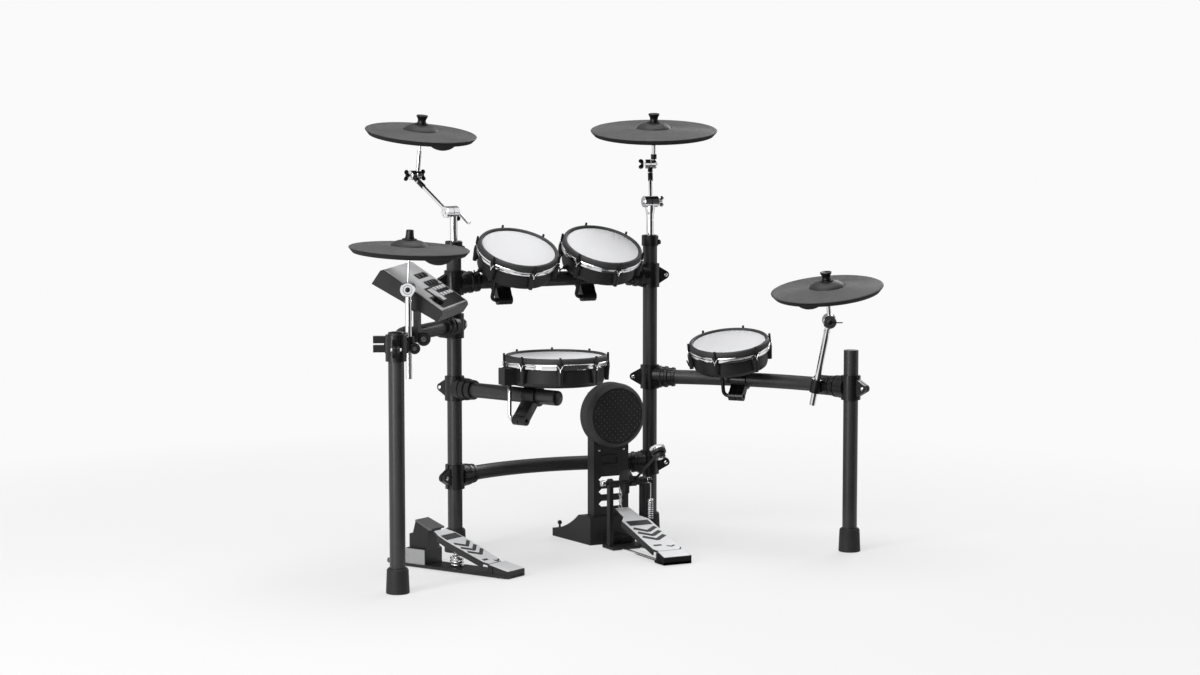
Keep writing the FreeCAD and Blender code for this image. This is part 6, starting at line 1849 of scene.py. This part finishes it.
@dataclass
class Studio:
    """The pale floor, the soft light and the camera of the photograph."""

    camera_place: Point = (-3.2678, -6.4615, 1.298)
    azimuth: float = 27.26
    pitch: float = 5.59
    lens: float = 80.82
    sensor: float = 36.0
    far: float = 200.0
    paper: tuple[float, ...] = (0.955, 0.955, 0.955, 1)
    floor_tone: tuple[float, ...] = (0.93, 0.93, 0.93, 1)
    floor_rough: float = 0.9
    floor_shine: float = 0.1
    floor_half: float = 60.0
    fade_from: Pair = (0.8, 2.6)
    fade_to: Pair = (0.55, 1.0)
    fill: float = 0.32
    sides: tuple[DarkSide, DarkSide] = (DarkSide((0.271, -0.962, 0.0), (0.77, 0.84), 0.05),
                                        DarkSide((0.458, 0.889, 0.0), (0.45, 0.75), 0.3))
    lamps: tuple[Lamp, ...] = (Lamp("key", (-3.2, -2.6, 3.6), (0, 0, 0.5), (3.0, 3.0), 110),
                               Lamp("strip", (-3.7, -1.55, 1.1), (0, 0, 0.6), (0.9, 2.6), 70),
                               Lamp("top", (0.3, 0.2, 4.2), (0, 0, 0), (3.2, 3.2), 110),
                               Lamp("rim", (3.4, 2.2, 2.6), (0, 0, 0.6), (2.0, 2.0), 55))

    def build(self) -> None:
        """Sets up the world, the floor, the lamps and the camera."""
        bpy.context.scene.view_settings.view_transform = "Standard"
        self.build_world()
        self.build_floor()
        for lamp in self.lamps:
            self.add_lamp(lamp)
        self.add_camera()

    def build_world(self) -> None:
        """A pale world for the camera, a soft light, and for polished metal a pale room with dark sides."""
        world = bpy.data.worlds.new("studio")
        bpy.context.scene.world = world
        world.use_nodes = True
        wiring, nodes = Wiring(world.node_tree), world.node_tree.nodes
        light = nodes["Background"]
        wiring.put(light.inputs["Strength"], self.fill)
        seen = wiring.made("ShaderNodeBackground", Color=self.paper)
        room = wiring.made("ShaderNodeBackground", Color=self.paper,
                           Strength=self.dark_sides(wiring, "Generated"))
        rays = wiring.add("ShaderNodeLightPath").outputs
        direct = wiring.math("MAXIMUM", rays["Is Camera Ray"], rays["Is Transmission Ray"])
        mirrored = wiring.mixed(rays["Is Glossy Ray"], light.outputs[0], room)
        wiring.put(nodes["World Output"].inputs["Surface"], wiring.mixed(direct, mirrored, seen))

    def dark_sides(self, wiring: Wiring, source: str) -> Socket:
        """Args:
            wiring: the tree of the world or of the floor.
            source: the coordinate that gives the direction.

        Returns:
            The socket of the brightness.
        """
        place = wiring.add("ShaderNodeTexCoord").outputs[source]
        level = wiring.vector("MULTIPLY", place, (1, 1, 0)).outputs[0]
        unit = wiring.vector("NORMALIZE", level).outputs[0]
        shares = [wiring.vector("DOT_PRODUCT", unit, side.way).outputs["Value"] for side in self.sides]
        return wiring.times(*[wiring.ranged(share, side.edge, (1.0, side.shade))
                              for share, side in zip(shares, self.sides)])

    def build_floor(self) -> None:
        """A wide floor that keeps a soft shadow and fades into the paper."""
        mesh = bpy.data.meshes.new("floor")
        side = self.floor_half
        mesh.from_pydata([(-side, -side, 0), (side, -side, 0), (side, side, 0), (-side, side, 0)], [],
                         [(0, 1, 2, 3)])
        floor = shown("floor", mesh)
        material = bpy.data.materials.new("floor paper")
        material.use_nodes = True
        wiring, nodes = Wiring(material.node_tree), material.node_tree.nodes
        shader = nodes["Principled BSDF"]
        values = {"Base Color": self.floor_tone, "Roughness": self.floor_rough,
                  "Specular IOR Level": self.floor_shine}
        for label, value in values.items():
            wiring.put(shader.inputs[label], value)
        length = wiring.vector("LENGTH", wiring.add("ShaderNodeTexCoord").outputs["Object"]).outputs["Value"]
        rays = wiring.add("ShaderNodeLightPath").outputs
        fade = wiring.times(wiring.ranged(length, self.fade_from, self.fade_to), rays["Is Camera Ray"])
        glow = wiring.made("ShaderNodeEmission", Color=self.paper)
        room = wiring.made("ShaderNodeEmission", Color=self.paper, Strength=self.dark_sides(wiring, "Object"))
        mirrored = wiring.mixed(rays["Is Glossy Ray"], wiring.mixed(fade, shader.outputs[0], glow), room)
        wiring.put(nodes["Material Output"].inputs["Surface"], mirrored)
        mesh.materials.append(material)

    def add_lamp(self, lamp: Lamp) -> None:
        """Hangs a lamp that faces its target."""
        light = bpy.data.lights.new(lamp.name, "AREA")
        light.shape = "RECTANGLE"
        light.size, light.size_y = lamp.size
        light.energy = lamp.power
        holder = shown(lamp.name, light)
        holder.location = lamp.place
        holder.rotation_euler = (Vector(lamp.target) - Vector(lamp.place)).to_track_quat("-Z", "Y").to_euler()

    def add_camera(self) -> None:
        """The camera that the photograph was solved for."""
        data = bpy.data.cameras.new("camera")
        data.lens = self.lens
        data.sensor_width = self.sensor
        data.sensor_fit = "HORIZONTAL"
        data.clip_end = self.far
        camera = shown("camera", data)
        camera.location = self.camera_place
        azimuth, pitch = math.radians(self.azimuth), math.radians(self.pitch)
        way = Vector((math.sin(azimuth) * math.cos(pitch), math.cos(azimuth) * math.cos(pitch),
                      -math.sin(pitch)))
        camera.rotation_euler = way.to_track_quat("-Z", "Y").to_euler()
        bpy.context.scene.camera = camera


def pads() -> list[MeshPad]:
    """The four mesh pads."""
    tilted = (0.0, -0.43837, 0.89879)
    return [
        MeshPad("tom_left", (-0.13278, 0.10383, 0.82753), (1, 0, 0), tilted),
        MeshPad("tom_right", (0.12322, 0.10383, 0.82753), (1, 0, 0), tilted),
        MeshPad("floor_tom", (0.43816, -0.0467, 0.56131), (0.63047, -0.77621, 0),
                (-0.18384, -0.14932, 0.97155)),
        MeshPad("snare", (-0.1056, -0.06946, 0.55), SNARE_WAY, UP, mesh=250, lugs=8, first=0, depth=73.0,
                rod=Finishes.CHROME),
    ]


def cymbals() -> list[CymbalPad]:
    """The four cymbal pads."""
    return [
        CymbalPad("crash", (-0.33819, 0.28694, 1.13744), (0.13276, -0.97757, -0.16349),
                  (0.022, -0.162, 0.98655), CRASH_AXIS, 116, -70, sleeve=6.0, wing=True),
        CymbalPad("ride", (0.34508, 0.21965, 1.13802), (-0.45351, -0.87954, -0.14401),
                  (-0.066, -0.128, 0.98958), RIDE_AXIS, 94, 60, disc=356, sleeve=5.6, collar=True),
        CymbalPad("hihat", (-0.60212, -0.24323, 0.85998), (-0.89004, 0.4535, 0.04645),
                  (0.021, -0.061, 0.99792), HIHAT_AXIS, 102, -55, tilter=19.0, half=8.8, rod=3.0,
                  topper=Topper.STRAIGHT),
        CymbalPad("side", (0.59888, -0.29629, 0.71806), (-0.88632, 0.4516, -0.10243),
                  (-0.158, -0.087, 0.9836), SIDE_AXIS, 90, -157, tilter=19.0, half=8.8, lever=34.0,
                  sleeve=5.8),
    ]


def stands() -> list[BoomStand | PoleStand]:
    """The stands of the cymbals."""
    return [
        BoomStand("crash", (*LEFT_POST, 0.928), (-0.94665, -0.32227, 0), (-0.31161, 0.17143, 0.928),
                  (-0.3566, 0.30358, 1.023), CRASH_AXIS, handle=True),
        BoomStand("ride", (*RIGHT_POST, 0.942), (0.99803, -0.06279, 0), (0.33317, 0.17713, 0.942),
                  (0.33707, 0.23901, 1.045), RIDE_AXIS, fork=True, arm_shift=(-20.0, 6.0), drum_shift=-10.2),
        PoleStand("hihat", (-0.59606, -0.221, 0.53), (-0.59606, -0.221, 0.759), HIHAT_AXIS),
        PoleStand("side", (0.60041, -0.22206, 0.39641), (0.62094, -0.27247, 0.63221), SIDE_AXIS),
    ]


def main() -> None:
    logging.basicConfig(level=logging.INFO, format="%(message)s")
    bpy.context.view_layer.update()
    pedals = (KickTower(), KickPedal(), HihatPedal())
    for item in (Rack(), *pads(), *stands(), *cymbals(), SoundModule(), *pedals, Studio()):
        item.build()


if __name__ == "__main__":
    main()
